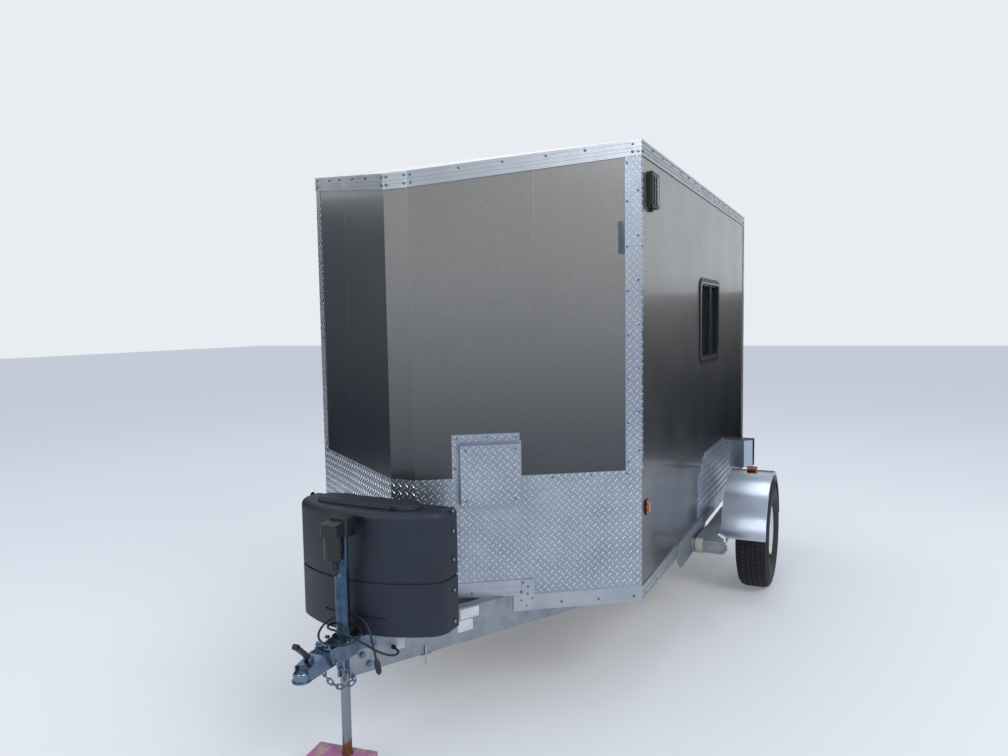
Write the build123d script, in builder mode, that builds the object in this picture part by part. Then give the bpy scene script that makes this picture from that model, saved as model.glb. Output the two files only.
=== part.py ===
"""Wheeled ice fishing hut: a V-nosed aluminium cabin on a frame with trailing wheel arms.

Millimetres. Ground is z = 0, x = 0 is the centre plane, +Y runs from the tongue to the rear,
and +X is the road side, where the window and the lamp are. The hut stands level on its two
tyres and on the foot of its tongue jack, which rests on a wooden block.
"""
from math import atan2, cos, degrees, hypot, pi, radians, sin, tan
import os

from build123d import *

os.makedirs("parts", exist_ok=True)

# Cabin
body_width = 1829.0
nose_depth = 595.0
nose_width = 124.0
side_length = 3050.0
side_height = 2115.0
nose_height = 1960.0
ground_clearance = 490.0
wall = 45.0
floor_thickness = 20.0
roof_thickness = 45.0

# Frame and tongue
sill_height = 72.0
sill_width = 50.0
crossmember_width = 38.0
crossmember_gap = 368.0
rail_width = 50.8
rail_height = 152.4
rail_angle = 29.2
rail_apex = 482.0
rail_front = 412.0
gusset_length = 67.0
gusset_height = 60.0
gusset_thickness = 6.0
tongue_reach = 733.0

# Trims and tread-plate guard
top_trim_height = 70.0
top_trim_groove = 4.0
trim_base = 3.0
trim_thickness = 5.0
rib_band = 12.0
guard_height = 620.0
guard_thickness = 1.6
corner_strip_front = 76.0
corner_strip_side = 22.0
low_trim_gap = 15.5
raised_trim_lap = 112.5
splice_length = 57.0
splice_thickness = 2.5

# Running gear
wheel_setback = 1175.0
wheel_radius = 360.0
tyre_width = 205.0
rim_radius = 190.5
pivot_lead = 800.0
pivot_height = -30.0
pivot_pin_radius = 22.0
arm_gap = 30.5
wheel_reach = 250.0
arm_width = 55.0
arm_depth = 70.0
arm_tail = 45.0
drop_lead = 110.0
bracket_depth = 18.0
bracket_length = 60.0
bracket_lead = 385.0
gusset_thickness = 6.0
spindle_radius = 19.0
running_clearance = 0.1
mount_plate_lead = 383.0
mount_plate_length = 760.0
mount_plate_thickness = 12.0
mount_plate_drop = 76.0
fender_radius = 412.0
fender_sheet = 3.0
fender_width = 272.0
fender_lip = 24.0
fender_foot = 48.0
fender_chamfer = 34.0

# Window, door and fittings
window_rear = 1105.0
window_sill = 1030.0
window_length = 650.0
window_height = 525.0
window_corner = 68.0
window_flange = 8.0
window_rim = 26.0
mullion_width = 24.0
glass_thickness = 4.0
door_start = 890.0
door_width = 610.0
door_step = 22.0
door_head_drop = 281.0
door_gap = 0.3
door_rim = 34.0

# Jack
jack_setback = 447.0
jack_tube_radius = 28.0
jack_post_radius = 19.0
jack_post_clearance = 0.5
block_height = 88.0

# Stations along the hut and levels above the ground
trim_back = trim_thickness
cabin_length = nose_depth + side_length
overall_back = cabin_length + trim_back
nose_y = (tongue_reach - overall_back) / 2
corner_y = nose_y + nose_depth
rear_y = corner_y + side_length
half_width = body_width / 2
nose_half = nose_width / 2
sill_z = ground_clearance
floor_z = sill_z + sill_height
eave_z = sill_z + side_height
nose_top_z = sill_z + nose_height
nose_pitch = degrees(atan2(eave_z - nose_top_z, nose_depth))
wheel_station = cabin_length - wheel_setback
wheel_y = nose_y + wheel_station
pivot_station = wheel_station - pivot_lead
pivot_y = nose_y + pivot_station
pivot_z = sill_z + pivot_height
mount_plate_start = pivot_station - mount_plate_lead
arm_inner = half_width + arm_gap
wheel_offset = arm_inner + wheel_reach
window_start = cabin_length - window_rear - window_length
v_length = hypot(half_width - nose_half, nose_depth)
v_angle = degrees(atan2(nose_depth, half_width - nose_half))
side_face = Plane(origin=(half_width, nose_y, sill_z), x_dir=(0, 1, 0), z_dir=(1, 0, 0))
v_face = Plane(
    origin=(nose_half, nose_y, sill_z),
    x_dir=(cos(radians(v_angle)), sin(radians(v_angle)), 0),
    z_dir=(sin(radians(v_angle)), -cos(radians(v_angle)), 0),
)


def cabin_outline(inset):
    """Plan of the cabin, moved inwards from its outer skin by the inset."""
    turn_nose = inset * tan(radians(v_angle / 2))
    turn_side = inset * tan(radians((90 - v_angle) / 2))
    return [
        (nose_half - turn_nose, nose_y + inset),
        (half_width - inset, corner_y + turn_side),
        (half_width - inset, rear_y - inset),
        (inset - half_width, rear_y - inset),
        (inset - half_width, corner_y + turn_side),
        (turn_nose - nose_half, nose_y + inset),
    ]


def on_v(along, out):
    """Plan point on the road side's slanting face, out from its skin."""
    turn = radians(v_angle)
    x = nose_half + along * cos(turn) + out * sin(turn)
    return (x, nose_y + along * sin(turn) - out * cos(turn))


def wall_strip(first, last, depth):
    """Plan of one wall or sill between two corners of the outline, mitred at both ends."""
    skin = cabin_outline(0)
    lining = cabin_outline(depth)
    return [skin[first], skin[last], lining[last], lining[first]]


def nose_slope(drop):
    """Plane of the sloping nose roof, lowered by the drop."""
    return Plane(
        origin=(0, nose_y, nose_top_z - drop),
        z_dir=(0, -sin(radians(nose_pitch)), cos(radians(nose_pitch))),
    )


def save(piece, name):
    """Labels a finished piece and writes it."""
    piece.label = name
    export_step(piece, f"parts/{name}.step")


def save_pair(piece, name):
    """Writes the road side's piece and its mirror image on the curb side."""
    save(piece, f"{name}_road")
    save(mirror(piece, about=Plane.YZ), f"{name}_curb")


def save_both(piece, name):
    """Writes a piece and its mirror image as two solids of one node."""
    save(Compound(children=[piece, mirror(piece, about=Plane.YZ)]), name)


# Tongue rails, with a gusset plate welded to each front end
rail_tan = tan(radians(rail_angle))
rail_across = rail_width / cos(radians(rail_angle))
apex_y = nose_y - rail_apex
rail_front_y = nose_y - rail_front
rail_end_y = apex_y + (half_width - sill_width) / rail_tan
rail_z = floor_z - rail_height


def beside_rail(y, out):
    """Plan point beside the road side's rail, out from its outer face."""
    return ((y - apex_y) * rail_tan + out / cos(radians(rail_angle)), y)


with BuildPart() as rail:
    with BuildSketch(Plane.XY.offset(floor_z)):
        with BuildLine():
            Polyline(
                (0, apex_y + rail_across / rail_tan),
                (0, rail_front_y),
                ((rail_front_y - apex_y) * rail_tan, rail_front_y),
                (half_width - sill_width, rail_end_y),
                (half_width - sill_width, rail_end_y + rail_across / rail_tan),
                close=True,
            )
        make_face()
    extrude(amount=-rail_height)
    with BuildSketch(Plane.XY.offset(rail_z)):
        gusset_back_y = rail_front_y + gusset_length
        Polygon(
            beside_rail(rail_front_y, 0),
            beside_rail(rail_front_y, gusset_thickness),
            beside_rail(gusset_back_y, gusset_thickness),
            beside_rail(gusset_back_y, 0),
            align=None,
        )
    extrude(amount=gusset_height)
save_pair(rail.part, "tongue_rail")

# Frame: sills round the cabin, with crossmembers between them, coped round the rails
with BuildPart() as side_sill:
    with BuildSketch(Plane.XY.offset(sill_z)):
        Polygon(*wall_strip(1, 2, sill_width), align=None)
    extrude(amount=sill_height)
save_both(side_sill.part, "side_sills")

with BuildPart() as end_sills:
    with BuildSketch(Plane.XY.offset(sill_z)):
        Polygon(*wall_strip(5, 0, sill_width), align=None)
        Polygon(*wall_strip(2, 3, sill_width), align=None)
    extrude(amount=sill_height)
save(end_sills.part, "end_sills")

with BuildPart() as v_sills:
    with BuildSketch(Plane.XY.offset(sill_z)):
        Polygon(*wall_strip(0, 1, sill_width), align=None)
        mirror(about=Plane.YZ)
    extrude(amount=sill_height)
    add(rail.part, mode=Mode.SUBTRACT)
    add(mirror(rail.part, about=Plane.YZ), mode=Mode.SUBTRACT)
save(v_sills.part, "v_sills")

crossmember_pitch = crossmember_gap + crossmember_width
crossmember_count = int((side_length - sill_width - crossmember_gap) // crossmember_pitch) + 1
nose_bar_y = nose_y + nose_depth / 2
nose_bar_half = nose_half + (half_width - nose_half) / 2 - sill_width
with BuildPart() as crossmembers:
    with BuildSketch(Plane.XY.offset(sill_z)):
        for number in range(crossmember_count):
            with Locations((0, corner_y + number * crossmember_pitch + crossmember_width / 2)):
                Rectangle(body_width - 2 * sill_width, crossmember_width)
        with Locations((0, nose_bar_y)):
            Rectangle(2 * nose_bar_half, crossmember_width)
    extrude(amount=sill_height)
    add(rail.part, mode=Mode.SUBTRACT)
    add(mirror(rail.part, about=Plane.YZ), mode=Mode.SUBTRACT)
    add(v_sills.part, mode=Mode.SUBTRACT)
save(crossmembers.part, "crossmembers")

# Floor panel, inside the walls
with BuildPart() as floor:
    with BuildSketch(Plane.XY.offset(floor_z)):
        Polygon(*cabin_outline(wall), align=None)
    extrude(amount=floor_thickness)
save(floor.part, "floor")

# Walls. They stand on the sill and carry the roof panels.
wall_top_z = eave_z - roof_thickness
with BuildPart() as nose_wall:
    with BuildSketch(Plane.XY.offset(floor_z)):
        Polygon(*wall_strip(5, 0, wall), align=None)
    extrude(amount=side_height)
    split(bisect_by=nose_slope(roof_thickness), keep=Keep.BOTTOM)
save(nose_wall.part, "nose_wall")

with BuildPart() as v_wall:
    with BuildSketch(Plane.XY.offset(floor_z)):
        Polygon(*wall_strip(0, 1, wall), align=None)
    extrude(amount=side_height)
    split(bisect_by=nose_slope(roof_thickness), keep=Keep.BOTTOM)
    split(bisect_by=Plane.XY.offset(wall_top_z), keep=Keep.BOTTOM)
save_both(v_wall.part, "v_walls")

with BuildPart() as side_wall:
    with BuildSketch(Plane.XY.offset(floor_z)):
        Polygon(*wall_strip(1, 2, wall), align=None)
    extrude(amount=wall_top_z - floor_z)
    with BuildSketch(side_face):
        with Locations((window_start + window_length / 2, window_sill + window_height / 2)):
            RectangleRounded(
                window_length - 2 * window_rim, window_height - 2 * window_rim, window_corner - window_rim
            )
    extrude(amount=-2 * wall, mode=Mode.SUBTRACT)
save(side_wall.part, "side_wall_road")

door_sill = sill_height + floor_thickness + door_step
door_height = side_height - door_head_drop - door_sill
with BuildPart() as side_wall_curb:
    add(mirror(side_wall.part, about=Plane.YZ))
    with BuildSketch(side_face.offset(-body_width - wall)):
        with Locations((door_start + door_width / 2, door_sill + door_height / 2)):
            RectangleRounded(door_width, door_height, window_corner)
    extrude(amount=2 * wall, mode=Mode.SUBTRACT)
save(side_wall_curb.part, "side_wall_curb")

with BuildPart() as rear_wall:
    with BuildSketch(Plane.XY.offset(floor_z)):
        Polygon(*wall_strip(2, 3, wall), align=None)
    extrude(amount=wall_top_z - floor_z)
save(rear_wall.part, "rear_wall")

# Roof panels
with BuildPart() as roof:
    with BuildSketch(Plane.XY.offset(wall_top_z)):
        with Locations((0, (corner_y + rear_y) / 2)):
            Rectangle(body_width, side_length)
    extrude(amount=roof_thickness)
save(roof.part, "roof")

with BuildPart() as nose_roof:
    with BuildSketch(Plane.XY.offset(floor_z)):
        skin = cabin_outline(0)
        Polygon(skin[0], skin[1], skin[4], skin[5], align=None)
    extrude(amount=side_height)
    split(bisect_by=nose_slope(0), keep=Keep.BOTTOM)
    split(bisect_by=nose_slope(roof_thickness), keep=Keep.TOP)
save(nose_roof.part, "nose_roof")

# Tread-plate guard round the nose, bent from one sheet
with BuildPart() as stone_guard:
    with BuildSketch(Plane.XY.offset(floor_z)):
        outer = cabin_outline(-guard_thickness)
        inner = cabin_outline(0)
        Polygon(outer[0], outer[1], inner[1], inner[0], inner[5], inner[4], outer[4], outer[5], align=None)
    extrude(amount=sill_z + guard_height - floor_z)
save(stone_guard.part, "stone_guard")

# Tread-plate strips up the two front corners
with BuildPart() as corner_strip:
    with BuildSketch(Plane.XY.offset(sill_z + guard_height)):
        Polygon(
            on_v(v_length - corner_strip_front, 0),
            on_v(v_length - corner_strip_front, guard_thickness),
            cabin_outline(-guard_thickness)[1],
            (half_width + guard_thickness, corner_y + corner_strip_side),
            (half_width, corner_y + corner_strip_side),
            (half_width, corner_y),
            align=None,
        )
    extrude(amount=side_height)
    split(bisect_by=nose_slope(top_trim_height), keep=Keep.BOTTOM)
    split(bisect_by=Plane.XY.offset(eave_z - top_trim_height), keep=Keep.BOTTOM)
save_both(corner_strip.part, "corner_guards")

def roof_band(out, high, low):
    """Band round the roof's edge between two drops below it, out from the skin."""
    outer = cabin_outline(-out)
    inner = cabin_outline(0)
    with BuildPart() as band:
        with BuildSketch(Plane.XY.offset(floor_z)):
            Polygon(outer[0], outer[1], inner[1], inner[0], inner[5], inner[4], outer[4], outer[5], align=None)
        extrude(amount=side_height)
        split(bisect_by=nose_slope(high), keep=Keep.BOTTOM)
        split(bisect_by=nose_slope(low), keep=Keep.TOP)
        with BuildSketch(Plane.XY.offset(eave_z - low)):
            Polygon(outer[1], outer[2], outer[3], outer[4], inner[4], inner[3], inner[2], inner[1], align=None)
        extrude(amount=low - high)
    return band.part


# Top trim: two ribbed bands with a groove between them, along every edge of the roof
top_band = (top_trim_height - top_trim_groove) / 2
with BuildPart() as top_trim:
    add(roof_band(trim_base, 0, top_trim_height))
    for start in (0, top_band + top_trim_groove):
        add(roof_band(trim_thickness, start, start + rib_band))
        add(roof_band(trim_thickness, start + top_band - rib_band, start + top_band))
save(top_trim.part, "top_trim")

# Bottom trim: three ribs, low along the sill and raised over the tongue rails
v_turn = radians(v_angle)
rail_crossing = (rail_apex * rail_tan - nose_half) / (cos(v_turn) - sin(v_turn) * rail_tan)
low_trim_end = rail_crossing + low_trim_gap
raised_trim_end = rail_crossing + raised_trim_lap
rear_trim_start = mount_plate_start + mount_plate_length
raised_out = guard_thickness + trim_thickness
rib_levels = [share * (sill_height - rib_band) for share in (0, 0.5, 1)]


def low_trim_plan(out):
    """Plan of the low trim on the road side, from the tongue rail to the pivot mount."""
    return [
        on_v(low_trim_end, 0),
        on_v(low_trim_end, out),
        cabin_outline(-out)[1],
        (half_width + out, nose_y + mount_plate_start),
        (half_width, nose_y + mount_plate_start),
        (half_width, corner_y),
    ]


def rear_trim_plan(out):
    """Plan of the low trim on the road side, from the pivot mount round to the centre of the rear."""
    return [
        (half_width, nose_y + rear_trim_start),
        (half_width + out, nose_y + rear_trim_start),
        (half_width + out, rear_y + out),
        (0, rear_y + out),
        (0, rear_y),
        (half_width, rear_y),
    ]


def raised_trim_plan(out):
    """Plan of the raised trim on the road side, over the tread-plate guard."""
    return [
        (0, nose_y - guard_thickness),
        (0, nose_y - guard_thickness - out),
        cabin_outline(-guard_thickness - out)[0],
        on_v(raised_trim_end, guard_thickness + out),
        on_v(raised_trim_end, guard_thickness),
        cabin_outline(-guard_thickness)[0],
    ]


with BuildPart() as low_trim:
    with BuildSketch(Plane.XY.offset(sill_z)):
        Polygon(*low_trim_plan(trim_base), align=None)
        mirror(about=Plane.YZ)
        Polygon(*rear_trim_plan(trim_base), align=None)
        mirror(about=Plane.YZ)
    extrude(amount=sill_height)
    for level in rib_levels:
        with BuildSketch(Plane.XY.offset(sill_z + level)):
            Polygon(*low_trim_plan(trim_thickness), align=None)
            Polygon(*rear_trim_plan(trim_thickness), align=None)
            mirror(about=Plane.YZ)
        extrude(amount=rib_band)
save(low_trim.part, "bottom_trim")

with BuildPart() as raised_trim:
    with BuildSketch(Plane.XY.offset(floor_z)):
        Polygon(*raised_trim_plan(trim_base), align=None)
        mirror(about=Plane.YZ)
    extrude(amount=sill_height)
    for level in rib_levels:
        with BuildSketch(Plane.XY.offset(floor_z + level)):
            Polygon(*raised_trim_plan(trim_thickness), align=None)
            mirror(about=Plane.YZ)
        extrude(amount=rib_band)
save(raised_trim.part, "raised_trim")

# Splice plates where the raised trim steps down to the low one
splice_out = raised_out + splice_thickness
with BuildPart() as splice:
    with BuildSketch(Plane.XY.offset(floor_z)):
        Polygon(
            on_v(raised_trim_end - splice_length, raised_out),
            on_v(raised_trim_end - splice_length, splice_out),
            on_v(raised_trim_end, splice_out),
            on_v(raised_trim_end, raised_out),
            align=None,
        )
    extrude(amount=sill_height)
    with BuildSketch(Plane.XY.offset(sill_z)):
        Polygon(
            on_v(low_trim_end, trim_thickness),
            on_v(low_trim_end, splice_out),
            on_v(raised_trim_end, splice_out),
            on_v(raised_trim_end, trim_thickness),
            align=None,
        )
    extrude(amount=sill_height)
save_both(splice.part, "trim_splices")

# Rear corner angles
with BuildPart() as rear_corner:
    with BuildSketch(Plane.XY.offset(floor_z)):
        with Locations((half_width, rear_y)):
            Rectangle(corner_strip_side + trim_thickness, trim_thickness, align=(Align.MAX, Align.MIN))
            Rectangle(trim_thickness, corner_strip_side, align=(Align.MIN, Align.MAX))
            Rectangle(trim_thickness, trim_thickness, align=(Align.MIN, Align.MIN))
    extrude(amount=eave_z - top_trim_height - floor_z)
save_both(rear_corner.part, "rear_corner_trims")

# Window frames, with the upright between their two panes
with BuildPart() as window_frame:
    with BuildSketch(side_face):
        with Locations((window_start + window_length / 2, window_sill + window_height / 2)):
            RectangleRounded(window_length, window_height, window_corner)
    extrude(amount=window_flange)
    with BuildSketch(side_face):
        with Locations((window_start + window_length / 2, window_sill + window_height / 2)):
            RectangleRounded(
                window_length - 2 * window_rim, window_height - 2 * window_rim, window_corner - window_rim
            )
    extrude(amount=-wall)
    with BuildSketch(side_face.offset(window_flange)):
        with Locations((window_start + window_length / 2, window_sill + window_height / 2)):
            RectangleRounded(
                window_length - 2 * window_rim - 12, window_height - 2 * window_rim - 12, window_corner - window_rim - 6
            )
            Rectangle(mullion_width, window_height, mode=Mode.SUBTRACT)
    extrude(amount=-wall - window_flange - 1, mode=Mode.SUBTRACT)
save_both(window_frame.part, "window_frames")

with BuildPart() as window_pane:
    with BuildSketch(side_face.offset(-wall / 2)):
        with Locations((window_start + window_length / 2, window_sill + window_height / 2)):
            RectangleRounded(
                window_length - 2 * window_rim - 12, window_height - 2 * window_rim - 12, window_corner - window_rim - 6
            )
            Rectangle(mullion_width, window_height, mode=Mode.SUBTRACT)
    extrude(amount=glass_thickness)
save_both(window_pane.part, "window_panes")

# Entry door on the curb side, with its hinges and handle
hinge_radius = 8.0
hinge_length = 90.0
handle_inset = 70.0
handle_height = 870.0
curb_face = side_face.offset(-body_width)
with BuildPart() as entry_door:
    with BuildSketch(curb_face):
        with Locations((door_start + door_width / 2, door_sill + door_height / 2)):
            RectangleRounded(door_width - 2 * door_gap, door_height - 2 * door_gap, window_corner - door_gap)
    extrude(amount=wall)
    with BuildSketch(curb_face):
        with Locations((door_start + door_width - handle_inset, door_sill + handle_height)):
            RectangleRounded(58, 112, 10)
    extrude(amount=-12)
    with BuildSketch(curb_face.offset(-12)):
        with Locations((door_start + door_width - handle_inset - 12, door_sill + handle_height + 18)):
            RectangleRounded(76, 22, 9)
    extrude(amount=-16)
save(entry_door.part, "entry_door")

with BuildPart() as door_frame:
    with BuildSketch(curb_face):
        with Locations((door_start + door_width / 2, door_sill + door_height / 2)):
            RectangleRounded(door_width + 2 * door_rim, door_height + 2 * door_rim, window_corner + door_rim)
            RectangleRounded(door_width, door_height, window_corner, mode=Mode.SUBTRACT)
    extrude(amount=-trim_thickness)
    for share in (0.15, 0.5, 0.85):
        with BuildSketch(Plane.XY.offset(sill_z + door_sill + share * door_height - hinge_length / 2)):
            with Locations((-half_width - trim_thickness, nose_y + door_start - door_rim / 2)):
                Circle(hinge_radius)
                Rectangle(2 * trim_thickness, 2 * hinge_radius, mode=Mode.SUBTRACT, align=(Align.MIN, Align.CENTER))
        extrude(amount=hinge_length)
save(door_frame.part, "door_frame")

# Ribbed guards on the side walls beside the wheels
guard_lead = 625.0
guard_length = 1165.0
guard_top = 455.0
guard_cut = 250.0
guard_cut_height = 148.0
guard_start = wheel_station - guard_lead
rib_pitch = 42.0
rib_width = 14.0
rib_height = 5.0
guard_sheet = 2.6


def wheel_guard_outline():
    """Outline of the ribbed guard, with its two upper corners cut off."""
    end = guard_start + guard_length
    return [
        (guard_start, sill_height),
        (end, sill_height),
        (end, guard_top - guard_cut_height),
        (end - guard_cut, guard_top),
        (guard_start + guard_cut, guard_top),
        (guard_start, guard_top - guard_cut_height),
    ]


with BuildPart() as wheel_guard:
    with BuildSketch(side_face):
        Polygon(*wheel_guard_outline(), align=None)
    extrude(amount=guard_sheet)
    with BuildSketch(side_face.offset(guard_sheet)):
        ribs = int((guard_top - sill_height) // rib_pitch)
        for number in range(ribs):
            with Locations((guard_start, sill_height + (number + 0.5) * rib_pitch)):
                Rectangle(guard_length, rib_width, align=(Align.MIN, Align.CENTER))
        Polygon(*wheel_guard_outline(), align=None, mode=Mode.INTERSECT)
    extrude(amount=rib_height)
save_both(wheel_guard.part, "wheel_guards")

# Pivot mounts: the plate on the sill and the fixed pin that the arm turns on
collar_length = arm_inner - half_width - mount_plate_thickness - 2
sleeve_length = 154.0
with BuildPart() as pivot_mount:
    with BuildSketch(side_face):
        with BuildLine():
            Polyline(
                (mount_plate_start, 0),
                (mount_plate_start + 80, -mount_plate_drop),
                (rear_trim_start - 120, -mount_plate_drop),
                (rear_trim_start, 0),
                (rear_trim_start, sill_height),
                (mount_plate_start, sill_height),
                close=True,
            )
        make_face()
    extrude(amount=mount_plate_thickness)
    with BuildSketch(side_face.offset(mount_plate_thickness)):
        with Locations((pivot_station, pivot_height)):
            Circle(arm_depth / 2 + 6)
    extrude(amount=collar_length)
    with BuildSketch(side_face.offset(mount_plate_thickness)):
        with Locations((pivot_station, pivot_height)):
            Circle(pivot_pin_radius)
    extrude(amount=collar_length + sleeve_length + 6)
    with BuildSketch(side_face.offset(mount_plate_thickness + collar_length + sleeve_length + 4)):
        with Locations((pivot_station, pivot_height)):
            Circle(pivot_pin_radius + 12)
    extrude(amount=10)
save_both(pivot_mount.part, "pivot_mounts")

# Swing arm: a level tube with its sleeve and gusset, a plate that drops to the wheel spindle, and brackets
# that carry the fender
arm_plane = Plane(origin=(arm_inner, pivot_y, pivot_z), x_dir=(0, 1, 0), z_dir=(1, 0, 0))
arm_run = wheel_y - pivot_y
arm_rise = wheel_radius - pivot_z
with BuildPart() as swing_arm:
    with BuildSketch(arm_plane):
        Circle(arm_depth / 2 + 3)
    extrude(amount=sleeve_length)
    with BuildSketch(arm_plane):
        Rectangle(arm_run + arm_tail, arm_depth, align=(Align.MIN, Align.CENTER))
        Polygon(
            (arm_run - drop_lead, 0),
            (arm_run - arm_tail, arm_rise),
            (arm_run + arm_tail, arm_rise),
            (arm_run + arm_tail, 0),
            align=None,
        )
        with Locations((arm_run, arm_rise)):
            Circle(arm_tail)
    extrude(amount=arm_width)
    with BuildSketch(Plane(origin=(arm_inner, pivot_y, pivot_z + arm_depth / 2), z_dir=(0, 0, 1))):
        Polygon(
            (0, 0),
            (sleeve_length, 0),
            (sleeve_length, 35),
            (arm_width + 60, 100),
            (arm_width + 23, 178),
            (arm_width, 300),
            (0, 300),
            align=None,
        )
    extrude(amount=gusset_thickness)
    with BuildSketch(arm_plane.offset(arm_width)):
        with Locations((arm_run - bracket_lead, 0)):
            Rectangle(bracket_length, arm_depth, align=(Align.MIN, Align.CENTER))
        with Locations((arm_run, arm_rise)):
            Circle(arm_tail)
    extrude(amount=bracket_depth)
    with BuildSketch(arm_plane):
        Circle(pivot_pin_radius + running_clearance)
    extrude(amount=sleeve_length, mode=Mode.SUBTRACT)
    with BuildSketch(arm_plane.offset(arm_width)):
        with Locations((arm_run, arm_rise)):
            Circle(spindle_radius)
    extrude(amount=wheel_offset - arm_inner - arm_width)
save_pair(swing_arm.part, "swing_arm")

# Fender: a rolled sheet over the wheel, with a plate on its inner side bolted to the arm
fender_inner = arm_inner + arm_width + bracket_depth
fender_plane = Plane(origin=(fender_inner, wheel_y, wheel_radius), x_dir=(0, 1, 0), z_dir=(1, 0, 0))
fender_front = Plane(
    origin=(fender_inner, wheel_y - fender_radius, wheel_radius + fender_foot), x_dir=(1, 0, 0), z_dir=(0, 1, 0)
)
with BuildPart() as fender:
    with BuildSketch(fender_plane):
        Circle(fender_radius)
        Circle(fender_radius - fender_sheet, mode=Mode.SUBTRACT)
        with Locations((0, fender_foot)):
            Rectangle(2 * fender_radius, 2 * fender_radius, align=(Align.CENTER, Align.MAX), mode=Mode.SUBTRACT)
    extrude(amount=fender_width)
    with BuildSketch(fender_plane.offset(fender_width - fender_sheet)):
        Circle(fender_radius)
        Circle(fender_radius - fender_lip, mode=Mode.SUBTRACT)
        with Locations((0, fender_foot)):
            Rectangle(2 * fender_radius, 2 * fender_radius, align=(Align.CENTER, Align.MAX), mode=Mode.SUBTRACT)
    extrude(amount=fender_sheet)
    with BuildSketch(fender_plane):
        Circle(fender_radius)
        with Locations((0, fender_foot)):
            Rectangle(2 * fender_radius, 2 * fender_radius, align=(Align.CENTER, Align.MAX), mode=Mode.SUBTRACT)
        with Locations((0, fender_foot)):
            Rectangle(fender_radius, fender_foot + arm_tail, align=(Align.CENTER, Align.MAX))
        Circle(spindle_radius + 1, mode=Mode.SUBTRACT)
    extrude(amount=fender_sheet)
    with BuildSketch(fender_front):
        Polygon((0, 0), (0, -fender_chamfer), (fender_chamfer, 0), align=None)
    extrude(amount=fender_chamfer, both=True, mode=Mode.SUBTRACT)
save_pair(fender.part, "fender")

# Tyre and rim, about the wheel's axle
wheel_axis = Axis((0, wheel_y, wheel_radius), (1, 0, 0))
wheel_plane = Plane(origin=(wheel_offset, wheel_y, wheel_radius), x_dir=(1, 0, 0), z_dir=(0, -1, 0))
wheel_side = Plane(origin=(wheel_offset, wheel_y, wheel_radius), x_dir=(0, 1, 0), z_dir=(1, 0, 0))
half_tyre = tyre_width / 2
bead_half = 78.0
sidewall = wheel_radius - rim_radius
tyre_profile = [
    (bead_half, rim_radius),
    (half_tyre - 10, rim_radius + 0.16 * sidewall),
    (half_tyre, rim_radius + 0.42 * sidewall),
    (half_tyre - 3, rim_radius + 0.66 * sidewall),
    (half_tyre - 12, rim_radius + 0.86 * sidewall),
    (half_tyre - 30, wheel_radius - 5),
    (half_tyre - 48, wheel_radius),
]
with BuildPart() as tyre:
    with BuildSketch(wheel_plane):
        Polygon(*tyre_profile, *[(-across, out) for across, out in reversed(tyre_profile)], align=None)
        for groove in (-30, 0, 30):
            with Locations((groove, wheel_radius)):
                Rectangle(9, 14, mode=Mode.SUBTRACT)
    revolve(axis=wheel_axis)
save_pair(tyre.part, "tyre")

disc_face = 40.0
disc_thickness = 12.0
disc_dish = 14.0
spokes = 6
spoke_width = 36.0
spoke_inner = 66.0
spoke_outer = 148.0
hub_radius = 62.0
hub_back = 60.0
cap_radius = 27.0
with BuildPart() as rim:
    with BuildSketch(wheel_plane):
        Polygon(
            (-bead_half, rim_radius),
            (-bead_half, rim_radius - 12),
            (disc_face - disc_thickness, rim_radius - 22),
            (disc_face - disc_thickness, 0),
            (disc_face, 0),
            (disc_face, hub_radius - 8),
            (disc_face + disc_dish, hub_radius + 12),
            (disc_face + disc_dish, rim_radius - 40),
            (bead_half, rim_radius - 10),
            (bead_half, rim_radius),
            align=None,
        )
        Polygon(
            (-hub_back, 0), (-hub_back, hub_radius), (disc_face - disc_thickness, hub_radius),
            (disc_face - disc_thickness, 0), align=None,
        )
    revolve(axis=wheel_axis)
    with BuildSketch(wheel_side):
        Circle(spoke_outer)
        Circle(spoke_inner, mode=Mode.SUBTRACT)
        with PolarLocations((spoke_inner + spoke_outer) / 2, spokes):
            Rectangle(2 * (spoke_outer - spoke_inner), spoke_width, mode=Mode.SUBTRACT)
    extrude(amount=bead_half, mode=Mode.SUBTRACT)
    with BuildSketch(wheel_side.offset(disc_face)):
        Circle(cap_radius)
    extrude(amount=disc_dish, taper=12)
    with BuildSketch(wheel_side.offset(-hub_back)):
        Circle(spindle_radius + running_clearance)
    extrude(amount=hub_back + 1, mode=Mode.SUBTRACT)
save_pair(rim.part, "rim")

# Light housings at the rear corners, with a lamp at the back of each
housing_base = 120.0
housing_height = 215.0
housing_length = 160.0
housing_rear_gap = 85.0
housing_reach = 110.0
housing_shoulder = 52.0
housing_slope = 50.0
housing_rear_y = rear_y - housing_rear_gap
housing_front_y = housing_rear_y - housing_length
with BuildPart() as tail_housing:
    with BuildSketch(Plane.XY.offset(sill_z + housing_base)):
        Polygon(
            (half_width, housing_front_y),
            (half_width + housing_shoulder, housing_front_y),
            (half_width + housing_reach, housing_front_y + housing_slope),
            (half_width + housing_reach, housing_rear_y),
            (half_width, housing_rear_y),
            align=None,
        )
    extrude(amount=housing_height)
save_both(tail_housing.part, "tail_housings")

tail_lens_length = 150.0
tail_lens_width = 54.0
with BuildPart() as tail_lamp:
    with BuildSketch(
        Plane(
            origin=(half_width + housing_reach / 2, housing_rear_y, sill_z + housing_base + housing_height / 2),
            x_dir=(1, 0, 0),
            z_dir=(0, 1, 0),
        )
    ):
        SlotOverall(tail_lens_length, tail_lens_width, rotation=90)
    extrude(amount=8)
save_both(tail_lamp.part, "tail_lamps")

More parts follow.
